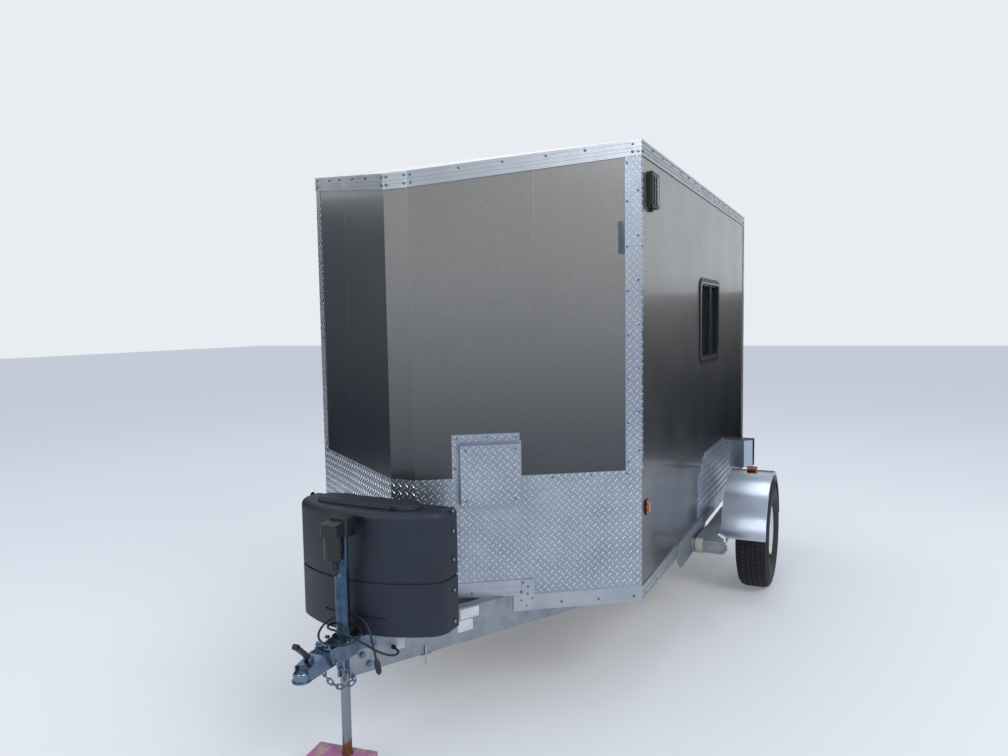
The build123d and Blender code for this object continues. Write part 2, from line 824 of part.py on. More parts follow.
# Hatch box on the road side of the nose: a flange over the wall with a folded cover on it
flange_start = 165.0
flange_length = 305.0
flange_top = 815.0
cover_start = 197.0
cover_base = 505.0
cover_length = 270.0
cover_rise = 267.0
cover_depth = 43.0
cover_lip = 10.0
with BuildPart() as hatch_box:
    with BuildSketch(v_face):
        with Locations((flange_start, guard_height)):
            Rectangle(flange_length, flange_top - guard_height, align=(Align.MIN, Align.MIN))
    extrude(amount=guard_thickness)
    with BuildSketch(v_face.offset(guard_thickness)):
        with Locations((cover_start, cover_base)):
            Rectangle(cover_length, cover_rise, align=(Align.MIN, Align.MIN))
    extrude(amount=cover_depth)
    with BuildSketch(v_face.offset(guard_thickness)):
        with Locations((cover_start + cover_length / 2, cover_base + cover_rise / 2)):
            Rectangle(cover_length + 2 * cover_lip, cover_rise + 2 * cover_lip)
    extrude(amount=guard_thickness)
save(hatch_box.part, "hatch_box")

# Lamps and side markers
lamp_station = 750.0
lamp_drop = 210.0
lamp_length = 125.0
lamp_height = 160.0
lamp_depth = 30.0
lamp_ear = 15.0
with BuildPart() as side_lamp:
    with BuildSketch(side_face):
        with Locations((lamp_station, side_height - lamp_drop)):
            RectangleRounded(lamp_length, lamp_height, 14)
    extrude(amount=lamp_depth)
    with BuildSketch(side_face):
        with Locations((lamp_station, side_height - lamp_drop)):
            SlotOverall(lamp_height + 2 * lamp_ear, 2 * lamp_ear, rotation=90)
    extrude(amount=lamp_depth / 2)
save_both(side_lamp.part, "side_lamps")

marker_station = 680.0
marker_level = 426.0
marker_width = 32.0
marker_length = 62.0
marker_rim = 4.0
with BuildPart() as side_marker:
    with BuildSketch(side_face):
        with Locations((marker_station, marker_level)):
            RectangleRounded(marker_width, marker_length, 8)
    extrude(amount=6)
    with BuildSketch(side_face.offset(6)):
        with Locations((marker_station, marker_level)):
            RectangleRounded(marker_width - 2 * marker_rim, marker_length - 2 * marker_rim, 8)
    extrude(amount=10, taper=10)
save_both(side_marker.part, "side_markers")

fender_light_length = 64.0
fender_light_width = 34.0
fender_light_height = 26.0
with BuildPart() as fender_light:
    with BuildSketch(
        Plane(origin=(fender_inner + fender_width / 2, wheel_y, wheel_radius + fender_radius), z_dir=(0, 0, 1))
    ):
        Rectangle(fender_light_length, fender_light_width)
    extrude(amount=fender_light_height)
    with BuildSketch(fender_plane):
        Circle(fender_radius)
    extrude(amount=fender_width, mode=Mode.SUBTRACT)
save_pair(fender_light.part, "fender_light")

# Coupler: a channel with the ball socket at its nose and flanges along the rails
coupler_z = floor_z
coupler_sheet = 6.0
coupler_depth = 62.0
plate_setback = 398.0
flange_depth = 92.0
ball_radius = 25.8
ball_wall = 6.0
ball_lip = 5.0
socket_depth = 30.0
slope_reach = 80.0
slope_foot = 11.0
slope_drop = 12.0
neck_half = 33.0
neck_end = 70.0
plate_back_y = nose_y - plate_setback
ball_y = nose_y - tongue_reach + ball_radius + ball_wall + ball_lip
ball_top_z = coupler_z - coupler_depth + socket_depth
throat_y = apex_y - coupler_sheet
neck_y = apex_y - neck_end
throat_half = (rail_front_y - apex_y) * rail_tan + coupler_sheet
latch_reach = 40.0
latch_lift = 4.0
latch_y = ball_y + latch_reach
latch_z = coupler_z + coupler_sheet + latch_lift
latch_half = 10.0
latch_clearance = 0.3
latch_pin_radius = 3.0
latch_length = 92.0
latch_lean = 45.0
ear_depth = 20.0

with BuildPart() as coupler:
    with BuildSketch(Plane.XY.offset(coupler_z)):
        Polygon(
            (0, plate_back_y),
            (0, ball_y),
            (neck_half, ball_y),
            (neck_half, neck_y),
            (throat_half, throat_y),
            (throat_half, rail_front_y),
            beside_rail(plate_back_y, coupler_sheet),
            align=None,
        )
        mirror(about=Plane.YZ)
    extrude(amount=coupler_sheet)
    with BuildSketch(Plane.XY.offset(coupler_z)):
        Polygon(
            (neck_half - coupler_sheet, ball_y),
            (neck_half, ball_y),
            (neck_half, neck_y),
            (throat_half, throat_y),
            (throat_half, rail_front_y),
            (throat_half - coupler_sheet, rail_front_y),
            (throat_half - coupler_sheet, throat_y),
            (neck_half - coupler_sheet, neck_y),
            align=None,
        )
        mirror(about=Plane.YZ)
    extrude(amount=-coupler_depth)
    with BuildSketch(Plane.XY.offset(coupler_z)):
        Polygon(
            beside_rail(rail_front_y, 0),
            beside_rail(rail_front_y, coupler_sheet),
            beside_rail(rail_front_y + gusset_length, coupler_sheet),
            beside_rail(rail_front_y + gusset_length, 0),
            align=None,
        )
        mirror(about=Plane.YZ)
    extrude(amount=-flange_depth)
    with BuildSketch(Plane.YZ):
        Polygon(
            (ball_y - ball_radius, coupler_z + 2 * coupler_sheet),
            (ball_y - ball_radius, coupler_z - slope_drop),
            (ball_y + slope_foot, coupler_z - slope_drop),
            (ball_y + slope_reach, coupler_z + coupler_sheet),
            (ball_y + slope_reach, coupler_z + 2 * coupler_sheet),
            align=None,
        )
    extrude(amount=2 * neck_half, both=True, mode=Mode.SUBTRACT)
    with BuildSketch(Plane.YZ):
        Polygon(
            (ball_y + slope_foot, coupler_z - slope_drop),
            (ball_y + slope_foot, coupler_z - slope_drop - coupler_sheet),
            (ball_y + slope_reach, coupler_z),
            (ball_y + slope_reach, coupler_z + coupler_sheet),
            align=None,
        )
    extrude(amount=neck_half, both=True)
    with Locations((0, ball_y, coupler_z - coupler_depth)):
        Cylinder(ball_radius + ball_wall, socket_depth, align=(Align.CENTER, Align.CENTER, Align.MIN))
        Cylinder(ball_radius + ball_wall + ball_lip, ball_lip, align=(Align.CENTER, Align.CENTER, Align.MIN))
    with Locations((0, ball_y, ball_top_z)):
        Sphere(ball_radius + ball_wall, arc_size1=0)
    with Locations((0, ball_y, coupler_z - coupler_depth)):
        Cylinder(ball_radius, socket_depth, align=(Align.CENTER, Align.CENTER, Align.MIN), mode=Mode.SUBTRACT)
    with Locations((0, ball_y, ball_top_z)):
        Sphere(ball_radius, mode=Mode.SUBTRACT)
    with Locations((0, nose_y - jack_setback, coupler_z)):
        Cylinder(jack_tube_radius + running_clearance, 3 * coupler_sheet, mode=Mode.SUBTRACT)
    with BuildSketch(Plane.YZ.offset(latch_half + latch_clearance)):
        with Locations((latch_y, latch_z)):
            Rectangle(20, ear_depth, align=(Align.CENTER, Align.MAX))
        with Locations((latch_y, latch_z)):
            Circle(10)
    extrude(amount=coupler_sheet)
    with BuildSketch(Plane.YZ.offset(-latch_half - latch_clearance)):
        with Locations((latch_y, latch_z)):
            Rectangle(20, ear_depth, align=(Align.CENTER, Align.MAX))
        with Locations((latch_y, latch_z)):
            Circle(10)
    extrude(amount=-coupler_sheet)
    with Locations((0, latch_y, latch_z)):
        Cylinder(latch_pin_radius, 2 * (latch_half + latch_clearance), rotation=(0, 90, 0))
save(coupler.part, "coupler")

# Latch lever on the coupler, raised, on a pin between two ears
latch_tip = (
    latch_y - latch_length * sin(radians(latch_lean)),
    latch_z + latch_length * cos(radians(latch_lean)),
)
with BuildPart() as latch:
    with BuildSketch(Plane.YZ):
        with Locations(((latch_y + latch_tip[0]) / 2, (latch_z + latch_tip[1]) / 2)):
            SlotCenterToCenter(latch_length, 16, rotation=90 + latch_lean)
        with Locations(latch_tip):
            Circle(11)
            Circle(5, mode=Mode.SUBTRACT)
    extrude(amount=latch_half, both=True)
    with Locations((0, latch_y, latch_z)):
        Cylinder(latch_pin_radius + running_clearance, 4 * latch_half, rotation=(0, 90, 0), mode=Mode.SUBTRACT)
save(latch.part, "coupler_latch")

# Tongue jack: tube, head with its motor, post and block
jack_y = nose_y - jack_setback
tube_bottom_z = sill_z - 60
tube_top_z = sill_z + 330
collar_radius = 46.0
collar_height = 8.0
neck_radius = 12.5
neck_offset = 18.0
taper_height = 56.0
head_z = sill_z + 505
head_sink = 10.0
with BuildPart() as jack_tube:
    with Locations((0, jack_y, tube_bottom_z)):
        Cylinder(jack_tube_radius, tube_top_z - tube_bottom_z, align=(Align.CENTER, Align.CENTER, Align.MIN))
    with Locations((0, jack_y, coupler_z + coupler_sheet)):
        Cylinder(collar_radius, collar_height, align=(Align.CENTER, Align.CENTER, Align.MIN))
    with BuildSketch(Plane.XY.offset(tube_top_z)):
        with Locations((0, jack_y)):
            Circle(jack_tube_radius)
    with BuildSketch(Plane.XY.offset(tube_top_z + 0.2 * taper_height)):
        with Locations((0.35 * neck_offset, jack_y)):
            Circle(0.77 * jack_tube_radius)
    with BuildSketch(Plane.XY.offset(tube_top_z + taper_height)):
        with Locations((neck_offset, jack_y)):
            Circle(neck_radius)
    loft(ruled=True)
    with Locations((neck_offset, jack_y, tube_top_z + taper_height)):
        Cylinder(
            neck_radius,
            head_z - head_sink - tube_top_z - taper_height,
            align=(Align.CENTER, Align.CENTER, Align.MIN),
        )
    with Locations((0, jack_y, tube_bottom_z)):
        Cylinder(
            jack_post_radius + jack_post_clearance,
            tube_top_z - tube_bottom_z - collar_height,
            align=(Align.CENTER, Align.CENTER, Align.MIN),
            mode=Mode.SUBTRACT,
        )
save(jack_tube.part, "jack_tube")

head_width = 78.0
head_offset = 15.0
head_front = 98.0
head_step = 48.0
head_rise = 60.0
housing_front = 46.0
housing_back = 30.0
housing_side = 60.0
housing_height = 77.0
housing_corner = 14.0
knob_radius = 19.0
knob_length = 8.0
knob_back = 14.0
knob_level = 13.0
motor_radius = 36.0
motor_length = 98.0
motor_lead = 60.0
motor_offset = 12.0
motor_cap_radius = 18.0
motor_cap_end = 14.0
motor_cap_length = 36.0
housing_left = head_offset - head_width / 2
with BuildPart() as jack_head:
    with BuildSketch(Plane.YZ.offset(head_offset)):
        Polygon(
            (jack_y - head_front, head_z),
            (jack_y - head_front, head_z + head_step),
            (jack_y, head_z + head_rise),
            (jack_y, head_z),
            align=None,
        )
    extrude(amount=head_width / 2, both=True)
    chamfer(jack_head.edges().filter_by(Axis.Z).group_by(Axis.Y)[0], 8)
    with BuildSketch(Plane.XY.offset(head_z - head_sink)):
        with Locations((housing_left, jack_y - housing_front)):
            RectangleRounded(
                housing_side - housing_left,
                housing_front + housing_back,
                housing_corner,
                align=(Align.MIN, Align.MIN),
            )
    extrude(amount=housing_height)
    chamfer(jack_head.faces().sort_by(Axis.Z)[-1].edges(), 5)
    with BuildSketch(
        Plane(origin=(housing_side - 1, jack_y + knob_back, head_z + knob_level), x_dir=(0, 1, 0), z_dir=(1, 0, 0))
    ):
        Circle(knob_radius)
    extrude(amount=knob_length + 1)
    with Locations((motor_offset, jack_y - motor_lead, head_z)):
        Cylinder(
            motor_radius + running_clearance,
            2 * head_sink,
            align=(Align.CENTER, Align.CENTER, Align.MAX),
            mode=Mode.SUBTRACT,
        )
save(jack_head.part, "jack_head")

with BuildPart() as jack_motor:
    with Locations((motor_offset, jack_y - motor_lead, head_z)):
        Cylinder(motor_radius, motor_length, align=(Align.CENTER, Align.CENTER, Align.MAX))
    chamfer(jack_motor.edges().group_by(Axis.Z)[0], 5)
    with Locations((motor_offset, jack_y - motor_lead, head_z - motor_length)):
        Cone(motor_cap_end, motor_cap_radius, motor_cap_length, align=(Align.CENTER, Align.CENTER, Align.MAX))
save(jack_motor.part, "jack_motor")

post_top_z = sill_z + 20
foot_height = 8.0
with BuildPart() as jack_post:
    with Locations((0, jack_y, block_height + foot_height)):
        Cylinder(
            jack_post_radius,
            post_top_z - block_height - foot_height,
            align=(Align.CENTER, Align.CENTER, Align.MIN),
        )
    with Locations((0, jack_y, block_height)):
        Cylinder(jack_post_radius + 3, foot_height, align=(Align.CENTER, Align.CENTER, Align.MIN))
save(jack_post.part, "jack_post")

block_length = 262.0
block_width = 140.0
block_turn = 8.0
with BuildPart() as jack_block:
    with BuildSketch():
        with Locations((-20, jack_y - 24)):
            Rectangle(block_length, block_width, rotation=block_turn)
    extrude(amount=block_height)
    chamfer(jack_block.faces().sort_by(Axis.Z)[-1].edges(), 3)
save(jack_block.part, "jack_block")

# Tank cover: a moulded shell on the tongue rails, with a hole for the hand under its lid
cover_half = 355.0
cover_back = 150.0
cover_shoulder = 270.0
cover_front = 385.0
cover_height = 498.0
cover_wall = 8.0
cover_corner = 85.0
cover_edge = 28.0
belt_level = 213.0
belt_width = 9.0
belt_depth = 5.0
slot_level = 70.0
slot_length = 300.0
with BuildSketch() as cover_plan:
    with BuildLine():
        Polyline(
            (cover_half, nose_y - cover_shoulder),
            (cover_half, nose_y - cover_back),
            (-cover_half, nose_y - cover_back),
            (-cover_half, nose_y - cover_shoulder),
        )
        ThreePointArc(
            (-cover_half, nose_y - cover_shoulder),
            (0, nose_y - cover_front),
            (cover_half, nose_y - cover_shoulder),
        )
    make_face()
    fillet(cover_plan.vertices().sort_by(Axis.Y)[:2], cover_corner)

lid_half = 248.0
lid_back = 200.0
lid_side = 305.0
lid_front = 322.0
lid_corner = 52.0
lid_hole_inset = 14.0
lid_hollow_inset = 20.0
lid_height = 20.0
lid_rim = 13.0
lid_bevel = 5.0
lid_wall = 5.0
lid_clearance = 0.3
lid_hinge_back = 9.0
lid_hinge_lift = 10.0
lid_knuckle = 7.0
lid_knuckle_length = 40.0
lid_knuckle_offset = 150.0
lid_pin_radius = 3.5
cover_top_z = floor_z + cover_height
lid_z = cover_top_z + lid_clearance
lid_back_y = nose_y - lid_back
hinge_y = lid_back_y + lid_hinge_back
hinge_z = cover_top_z + lid_hinge_lift
ear_length = 8.0
with BuildSketch() as lid_plan:
    with BuildLine():
        Polyline(
            (lid_half, nose_y - lid_side),
            (lid_half, lid_back_y),
            (-lid_half, lid_back_y),
            (-lid_half, nose_y - lid_side),
        )
        ThreePointArc((-lid_half, nose_y - lid_side), (0, nose_y - lid_front), (lid_half, nose_y - lid_side))
    make_face()
    fillet(lid_plan.vertices(), lid_corner)

with BuildPart() as cover_hollow:
    with BuildSketch(Plane.XY.offset(floor_z)):
        offset(cover_plan.sketch_local, amount=-cover_wall, mode=Mode.ADD)
    extrude(amount=cover_height - cover_wall)
    fillet(cover_hollow.faces().sort_by(Axis.Z)[-1].edges(), cover_edge - cover_wall)

with BuildPart() as tank_cover:
    with BuildSketch(Plane.XY.offset(floor_z)):
        add(cover_plan.sketch_local)
    extrude(amount=cover_height)
    fillet(tank_cover.faces().sort_by(Axis.Z)[-1].edges(), cover_edge)
    add(cover_hollow.part, mode=Mode.SUBTRACT)
    with BuildSketch(Plane.XY.offset(cover_top_z)):
        offset(lid_plan.sketch_local, amount=-lid_hole_inset, mode=Mode.ADD)
    extrude(amount=-2 * cover_wall, mode=Mode.SUBTRACT)
    with BuildSketch(Plane.XY.offset(floor_z + belt_level)):
        add(cover_plan.sketch_local)
        offset(cover_plan.sketch_local, amount=-belt_depth, mode=Mode.SUBTRACT)
    extrude(amount=belt_width, mode=Mode.SUBTRACT)
    with BuildSketch(Plane.XY.offset(floor_z + slot_level)):
        add(cover_plan.sketch_local)
        offset(cover_plan.sketch_local, amount=-belt_depth, mode=Mode.SUBTRACT)
        with Locations((0, nose_y - cover_front)):
            Rectangle(slot_length, cover_front - cover_shoulder, mode=Mode.INTERSECT)
    extrude(amount=belt_width, mode=Mode.SUBTRACT)
    ear_offset = (lid_knuckle_length + ear_length) / 2 + latch_clearance
    for middle in (-lid_knuckle_offset, lid_knuckle_offset):
        for ear in (-ear_offset, ear_offset):
            with BuildSketch(Plane.YZ.offset(middle + ear - ear_length / 2)):
                with Locations((hinge_y, cover_top_z)):
                    Rectangle(2 * lid_knuckle, lid_hinge_lift, align=(Align.CENTER, Align.MIN))
                with Locations((hinge_y, hinge_z)):
                    Circle(lid_knuckle)
            extrude(amount=ear_length)
        with Locations((middle, hinge_y, hinge_z)):
            Cylinder(lid_pin_radius, lid_knuckle_length + ear_length, rotation=(0, 90, 0))
save(tank_cover.part, "tank_cover")

# Lid over the hole, hinged at the back
with BuildPart() as tank_lid:
    with BuildSketch(Plane.XY.offset(lid_z)):
        add(lid_plan.sketch_local)
    extrude(amount=lid_rim)
    chamfer(tank_lid.faces().sort_by(Axis.Z)[-1].edges(), lid_bevel)
    with BuildSketch(Plane.XY.offset(lid_z + lid_rim)):
        offset(lid_plan.sketch_local, amount=-1.5 * lid_bevel, mode=Mode.ADD)
    extrude(amount=lid_height - lid_rim)
    chamfer(tank_lid.faces().sort_by(Axis.Z)[-1].edges(), lid_bevel)
    with BuildSketch(Plane.XY.offset(lid_z)):
        offset(lid_plan.sketch_local, amount=-lid_hollow_inset, mode=Mode.ADD)
    extrude(amount=lid_height - lid_wall, mode=Mode.SUBTRACT)
    for middle in (-lid_knuckle_offset, lid_knuckle_offset):
        with BuildSketch(Plane.YZ.offset(middle - lid_knuckle_length / 2)):
            with Locations((hinge_y, hinge_z)):
                Circle(lid_knuckle)
            with Locations((hinge_y, hinge_z)):
                Rectangle(lid_hinge_back + 6, 2 * lid_knuckle - 4, align=(Align.MAX, Align.CENTER))
        extrude(amount=lid_knuckle_length)
        with Locations((middle, hinge_y, hinge_z)):
            Cylinder(
                lid_pin_radius + running_clearance, lid_knuckle_length, rotation=(0, 90, 0), mode=Mode.SUBTRACT
            )
save(tank_lid.part, "tank_lid")

# Tray on the tongue rails, and the two gas tanks on it
tray_thickness = 6.0
tray_z = floor_z + tray_thickness
with BuildPart() as tank_tray:
    with BuildSketch(Plane.XY.offset(floor_z)):
        offset(cover_plan.sketch_local, amount=-cover_wall - latch_clearance, mode=Mode.ADD)
    extrude(amount=tray_thickness)
save(tank_tray.part, "tank_tray")

tank_radius = 98.0
tank_gap = 12.0
tank_back_gap = 6.0
tank_y = nose_y - cover_back - cover_wall - tank_back_gap - tank_radius
tank_x = tank_radius + tank_gap / 2
foot_ring = 80.0
collar_ring = 64.0
ring_sheet = 4.0
shell_base = 24.0
shell_side = 80.0
shell_shoulder = 262.0
shell_top = 330.0
shell_turn = 22.0
neck_ring = 50.0
collar_base = 300.0
collar_rise = 120.0
valve_radius = 14.0
valve_level = 385.0
with BuildPart() as gas_tank:
    with BuildSketch(Plane(origin=(tank_x, tank_y, tray_z), x_dir=(1, 0, 0), z_dir=(0, -1, 0))):
        with BuildLine():
            Polyline((0, shell_top), (0, shell_base), (foot_ring - 20, shell_base))
            ThreePointArc((foot_ring - 20, shell_base), (tank_radius - 12, 42), (tank_radius, shell_side))
            Line((tank_radius, shell_side), (tank_radius, shell_shoulder))
            ThreePointArc((tank_radius, shell_shoulder), (tank_radius - shell_turn, 304), (neck_ring, shell_top))
            Line((neck_ring, shell_top), (0, shell_top))
        make_face()
        with Locations((foot_ring, 0)):
            Rectangle(ring_sheet, 44, align=(Align.MAX, Align.MIN))
        with Locations((collar_ring, collar_base)):
            Rectangle(ring_sheet, collar_rise, align=(Align.MAX, Align.MIN))
        Rectangle(valve_radius, valve_level + 15, align=(Align.MIN, Align.MIN))
        with Locations((0, valve_level)):
            Rectangle(2 * valve_radius, 20, align=(Align.MIN, Align.MIN))
    revolve(axis=Axis((tank_x, tank_y, 0), (0, 0, 1)))
save_both(gas_tank.part, "gas_tanks")

# Trailer lead: from its grommet on the road side's rail twice round the jack to its plug
lead_radius = 4.5
gland_radius = 10.0
gland_length = 10.0
gland_y = nose_y - 275.0
gland_z = floor_z - 84.0
rail_turn = radians(rail_angle)
rail_out = (cos(rail_turn), -sin(rail_turn), 0)
gland_x = beside_rail(gland_y, 0)[0]
lead_start_x = gland_x + gland_length * cos(rail_turn)
lead_start_y = gland_y - gland_length * sin(rail_turn)
lead_points = [
    (24, -13, 0), (43, -34, 0), (47, -67, 4), (33, -103, 18), (6, -136, 44), (-22, -168, 78), (-46, -200, 110),
    (-74, -222, 131), (-110, -229, 141), (-151, -226, 141), (-181, -197, 137), (-181, -155, 134), (-151, -125, 131),
    (-109, -125, 131), (-69, -134, 127), (-44, -160, 115), (-37, -198, 103), (-54, -238, 98), (-92, -264, 97),
    (-136, -268, 98), (-178, -252, 101), (-209, -219, 111), (-215, -177, 131), (-190, -140, 154), (-146, -125, 164),
    (-100, -124, 166), (-56, -131, 160), (-20, -144, 138), (0, -156, 103), (13, -160, 62), (25, -162, 22),
]
lead_route = [(lead_start_x, lead_start_y, gland_z)]
for across, along, up in lead_points:
    lead_route.append((lead_start_x + across, lead_start_y + along, gland_z + up))


def arc_radii(route):
    """Radius of the arc at each inner point: 0.45 of its shorter run over the tangent of half its turn."""
    radii = []
    for before, here, after in zip(route, route[1:], route[2:]):
        first = Vector(here) - Vector(before)
        second = Vector(after) - Vector(here)
        half_turn = radians(first.get_angle(second)) / 2
        radii.append(0.45 * min(first.length, second.length) / tan(half_turn))
    return radii


lead_radii = arc_radii(lead_route)
with BuildPart() as lead_gland:
    with BuildSketch(Plane(origin=(gland_x, gland_y, gland_z), x_dir=(0, 0, 1), z_dir=rail_out)):
        Circle(gland_radius)
    extrude(amount=gland_length, taper=12)
save(lead_gland.part, "lead_gland")

with BuildPart() as lead:
    with BuildLine() as lead_line:
        FilletPolyline(*lead_route, radius=lead_radii)
    with BuildSketch(Plane(origin=lead_route[0], z_dir=rail_out)):
        Circle(lead_radius)
    sweep()
save(lead.part, "trailer_lead")
print("lead radii", [round(radius) for radius in lead_radii])
lead_length = sum(edge.length for edge in lead_line.edges())
print("lead length", round(lead_length), "volume", round(lead.part.volume))
print("lead section times length", round(lead_length * pi * lead_radius**2))

lead_end = lead.faces().sort_by_distance(lead_route[-1])[0]
with BuildPart() as lead_plug:
    with BuildSketch(Plane(origin=lead_end.center(), x_dir=(1, 0, 0), z_dir=lead_end.normal_at())):
        Circle(8)
    extrude(amount=14, taper=-14)
    extrude(lead_plug.faces().sort_by(Axis.Z)[0], amount=32)
    extrude(lead_plug.faces().sort_by(Axis.Z)[0], amount=10, taper=30)
save(lead_plug.part, "lead_plug")
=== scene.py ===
# %% [markdown]
# # A wheeled ice fishing hut
#
# The hut is a cabin of folded aluminium sheet on a welded aluminium frame. It has a V-shaped nose behind
# a tongue with a jack and two gas tanks, and its two wheels hang on swinging arms, so that the cabin can
# be let down onto the ice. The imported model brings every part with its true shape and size. This script
# dresses it: finishes for every part, and the small things that are too fine for the model, such as the
# lugs of the tread plate, the screws, the tyre's blocks and the safety chain.

import bpy
from math import atan2, ceil, cos, degrees, floor, hypot, pi, radians, sin, tan
from mathutils import Matrix, Vector


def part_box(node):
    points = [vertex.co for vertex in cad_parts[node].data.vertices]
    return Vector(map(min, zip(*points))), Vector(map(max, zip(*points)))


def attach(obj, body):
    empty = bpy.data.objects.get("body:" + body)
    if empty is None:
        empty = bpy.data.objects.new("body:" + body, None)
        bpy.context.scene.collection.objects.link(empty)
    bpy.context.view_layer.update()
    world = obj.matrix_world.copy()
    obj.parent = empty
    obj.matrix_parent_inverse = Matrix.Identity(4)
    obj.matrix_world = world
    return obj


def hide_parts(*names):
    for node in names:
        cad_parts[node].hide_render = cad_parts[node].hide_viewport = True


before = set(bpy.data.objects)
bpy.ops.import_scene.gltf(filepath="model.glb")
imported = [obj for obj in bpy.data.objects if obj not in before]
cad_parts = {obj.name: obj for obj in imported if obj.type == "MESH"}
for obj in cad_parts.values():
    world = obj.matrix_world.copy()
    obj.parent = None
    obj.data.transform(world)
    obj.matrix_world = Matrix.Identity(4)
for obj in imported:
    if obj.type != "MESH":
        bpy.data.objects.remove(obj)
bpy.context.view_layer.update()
bpy.ops.object.select_all(action="DESELECT")

# %% [markdown]
# ## Where things are
#
# All places are in metres. X runs to the road side, Y from the tongue to the rear, and Z up from the
# ground. The cabin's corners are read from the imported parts, so that every screw sits on its own sheet.
# Small functions turn a distance along a wall and a height above the frame's underside into a place.

# %% Corners of the cabin
wall_low, wall_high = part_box("side_wall_road")
half_width = wall_high.x
corner_y = wall_low.y
rear_y = wall_high.y
nose_low, nose_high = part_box("nose_wall")
nose_half = nose_high.x
nose_y = nose_low.y
sill_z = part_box("side_sills")[0].z
floor_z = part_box("side_sills")[1].z
eave_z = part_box("roof")[1].z
nose_top_z = sill_z + 1.960
v_angle = atan2(corner_y - nose_y, half_width - nose_half)
v_length = hypot(half_width - nose_half, corner_y - nose_y)


def on_v(along, up, out=0.0, side=1):
    """Point on a slanting nose wall: along from the nose, up from the frame, out from the skin."""
    x = nose_half + along * cos(v_angle) + out * sin(v_angle)
    return Vector((side * x, nose_y + along * sin(v_angle) - out * cos(v_angle), sill_z + up))


def on_side(along, up, out=0.0, side=1):
    """Point on a side wall: along from the nose, up from the frame, out from the skin."""
    return Vector((side * (half_width + out), nose_y + along, sill_z + up))


def out_of_v(side=1):
    """Direction straight out of a slanting nose wall."""
    return Vector((side * sin(v_angle), -cos(v_angle), 0))


def out_of_side(side=1):
    """Direction straight out of a side wall."""
    return Vector((side, 0, 0))


print("nose wall to corner", round(v_length, 3), "m at", round(degrees(v_angle), 1), "degrees")

# %% [markdown]
# ## Camera
#
# The camera stands in front of the near corner at eye height, with the slight tilt of a hand-held phone.
# Its place comes from the directions of the cabin's own edges. A camera looks along its own -Z, so its
# three axes are set straight from the direction of view, turned by the small roll. The Standard view
# transform shows a colour as it is written.

# %% Set up the camera
frame_width = 1008
focal_pixels = 757.0
yaw, pitch, roll = radians(-25.84), radians(4.33), radians(0.92)
ahead = Vector((sin(yaw) * cos(pitch), cos(yaw) * cos(pitch), -sin(pitch)))
level_right = Vector((cos(yaw), -sin(yaw), 0))
level_down = ahead.cross(level_right)
right = cos(roll) * level_right + sin(roll) * level_down
down = -sin(roll) * level_right + cos(roll) * level_down
bpy.ops.object.camera_add(location=(0, 0, 0))
camera = bpy.context.object
camera.name = "camera"
eye = Vector((1.853, nose_y - 2.782, sill_z + 1.315))
camera.matrix_world = Matrix.Translation(eye) @ Matrix((right, -down, -ahead)).transposed().to_4x4()
camera.data.sensor_width = 36.0
camera.data.lens = focal_pixels / frame_width * camera.data.sensor_width
camera.data.clip_end = 200
bpy.context.scene.camera = camera
bpy.context.scene.view_settings.view_transform = "Standard"
print("lens", round(camera.data.lens, 2), "mm")

# %% [markdown]
# ## Trailer lead
#
# The lead carries the light signals. It is a rubber-sheathed cable of 9 mm that leaves the rail through a
# grommet, wraps twice round the jack's tube and ends in a plug that hangs beside the coupler. A hanging
# cable has no corners anywhere, so it is a NURBS curve, whose line bends smoothly between its points. The
# same points carry the plain tube in the model.

# %% Lay the lead
lead_diameter = 0.009
rail_angle = radians(29.2)
rails_meet = 0.482
gland_ahead, gland_drop, gland_depth = 0.275, 0.084, 0.010
gland = Vector(((rails_meet - gland_ahead) * tan(rail_angle), nose_y - gland_ahead, floor_z - gland_drop))
lead_start = gland + gland_depth * Vector((cos(rail_angle), -sin(rail_angle), 0))
lead_points = [
    (0, 0, 0), (24, -13, 0), (43, -34, 0), (47, -67, 4), (33, -103, 18), (6, -136, 44), (-22, -168, 78),
    (-46, -200, 110), (-74, -222, 131), (-110, -229, 141), (-151, -226, 141), (-181, -197, 137),
    (-181, -155, 134), (-151, -125, 131), (-109, -125, 131), (-69, -134, 127), (-44, -160, 115),
    (-37, -198, 103), (-54, -238, 98), (-92, -264, 97), (-136, -268, 98), (-178, -252, 101),
    (-209, -219, 111), (-215, -177, 131), (-190, -140, 154), (-146, -125, 164), (-100, -124, 166),
    (-56, -131, 160), (-20, -144, 138), (0, -156, 103), (13, -160, 62), (25, -162, 22),
]
bpy.ops.curve.primitive_nurbs_path_add(location=(0, 0, 0))
lead = bpy.context.object
lead.name = "trailer_lead_cable"
lead.data.splines.clear()
spline = lead.data.splines.new("NURBS")
spline.points.add(len(lead_points) - 1)
for point, offset in zip(spline.points, lead_points):
    point.co = (*(lead_start + Vector(offset) / 1000), 1)
spline.order_u = 3
spline.use_endpoint_u = True
lead.data.bevel_depth = lead_diameter / 2
lead.data.bevel_resolution = 5
lead.data.resolution_u = 10
lead.data.use_fill_caps = True
print("lead starts at", [round(v, 4) for v in lead_start])

# %% [markdown]
# ## Colours and nodes
#
# Colours are written as the hex values that a paint chart gives, which are meant for a screen. A shader
# works on linear light, so one function converts them. Another adds a node with its settings and links,
# where a node that is given as a value stands for its first output in use. Short ones on top of it make
# what every recipe uses: noise, a stretched range, a mix of tones, a relief and the feed into the shader.
# Pattern scales are worked out from real millimetres: a noise texture repeats its bumps once per unit,
# and one unit here is a metre.


# %% Helpers for materials
def paint(code):
    """Linear colour from a screen hex value."""
    parts = [int(code[i:i + 2], 16) / 255 for i in (1, 3, 5)]
    return (*[p / 12.92 if p <= 0.04045 else ((p + 0.055) / 1.055) ** 2.4 for p in parts], 1)


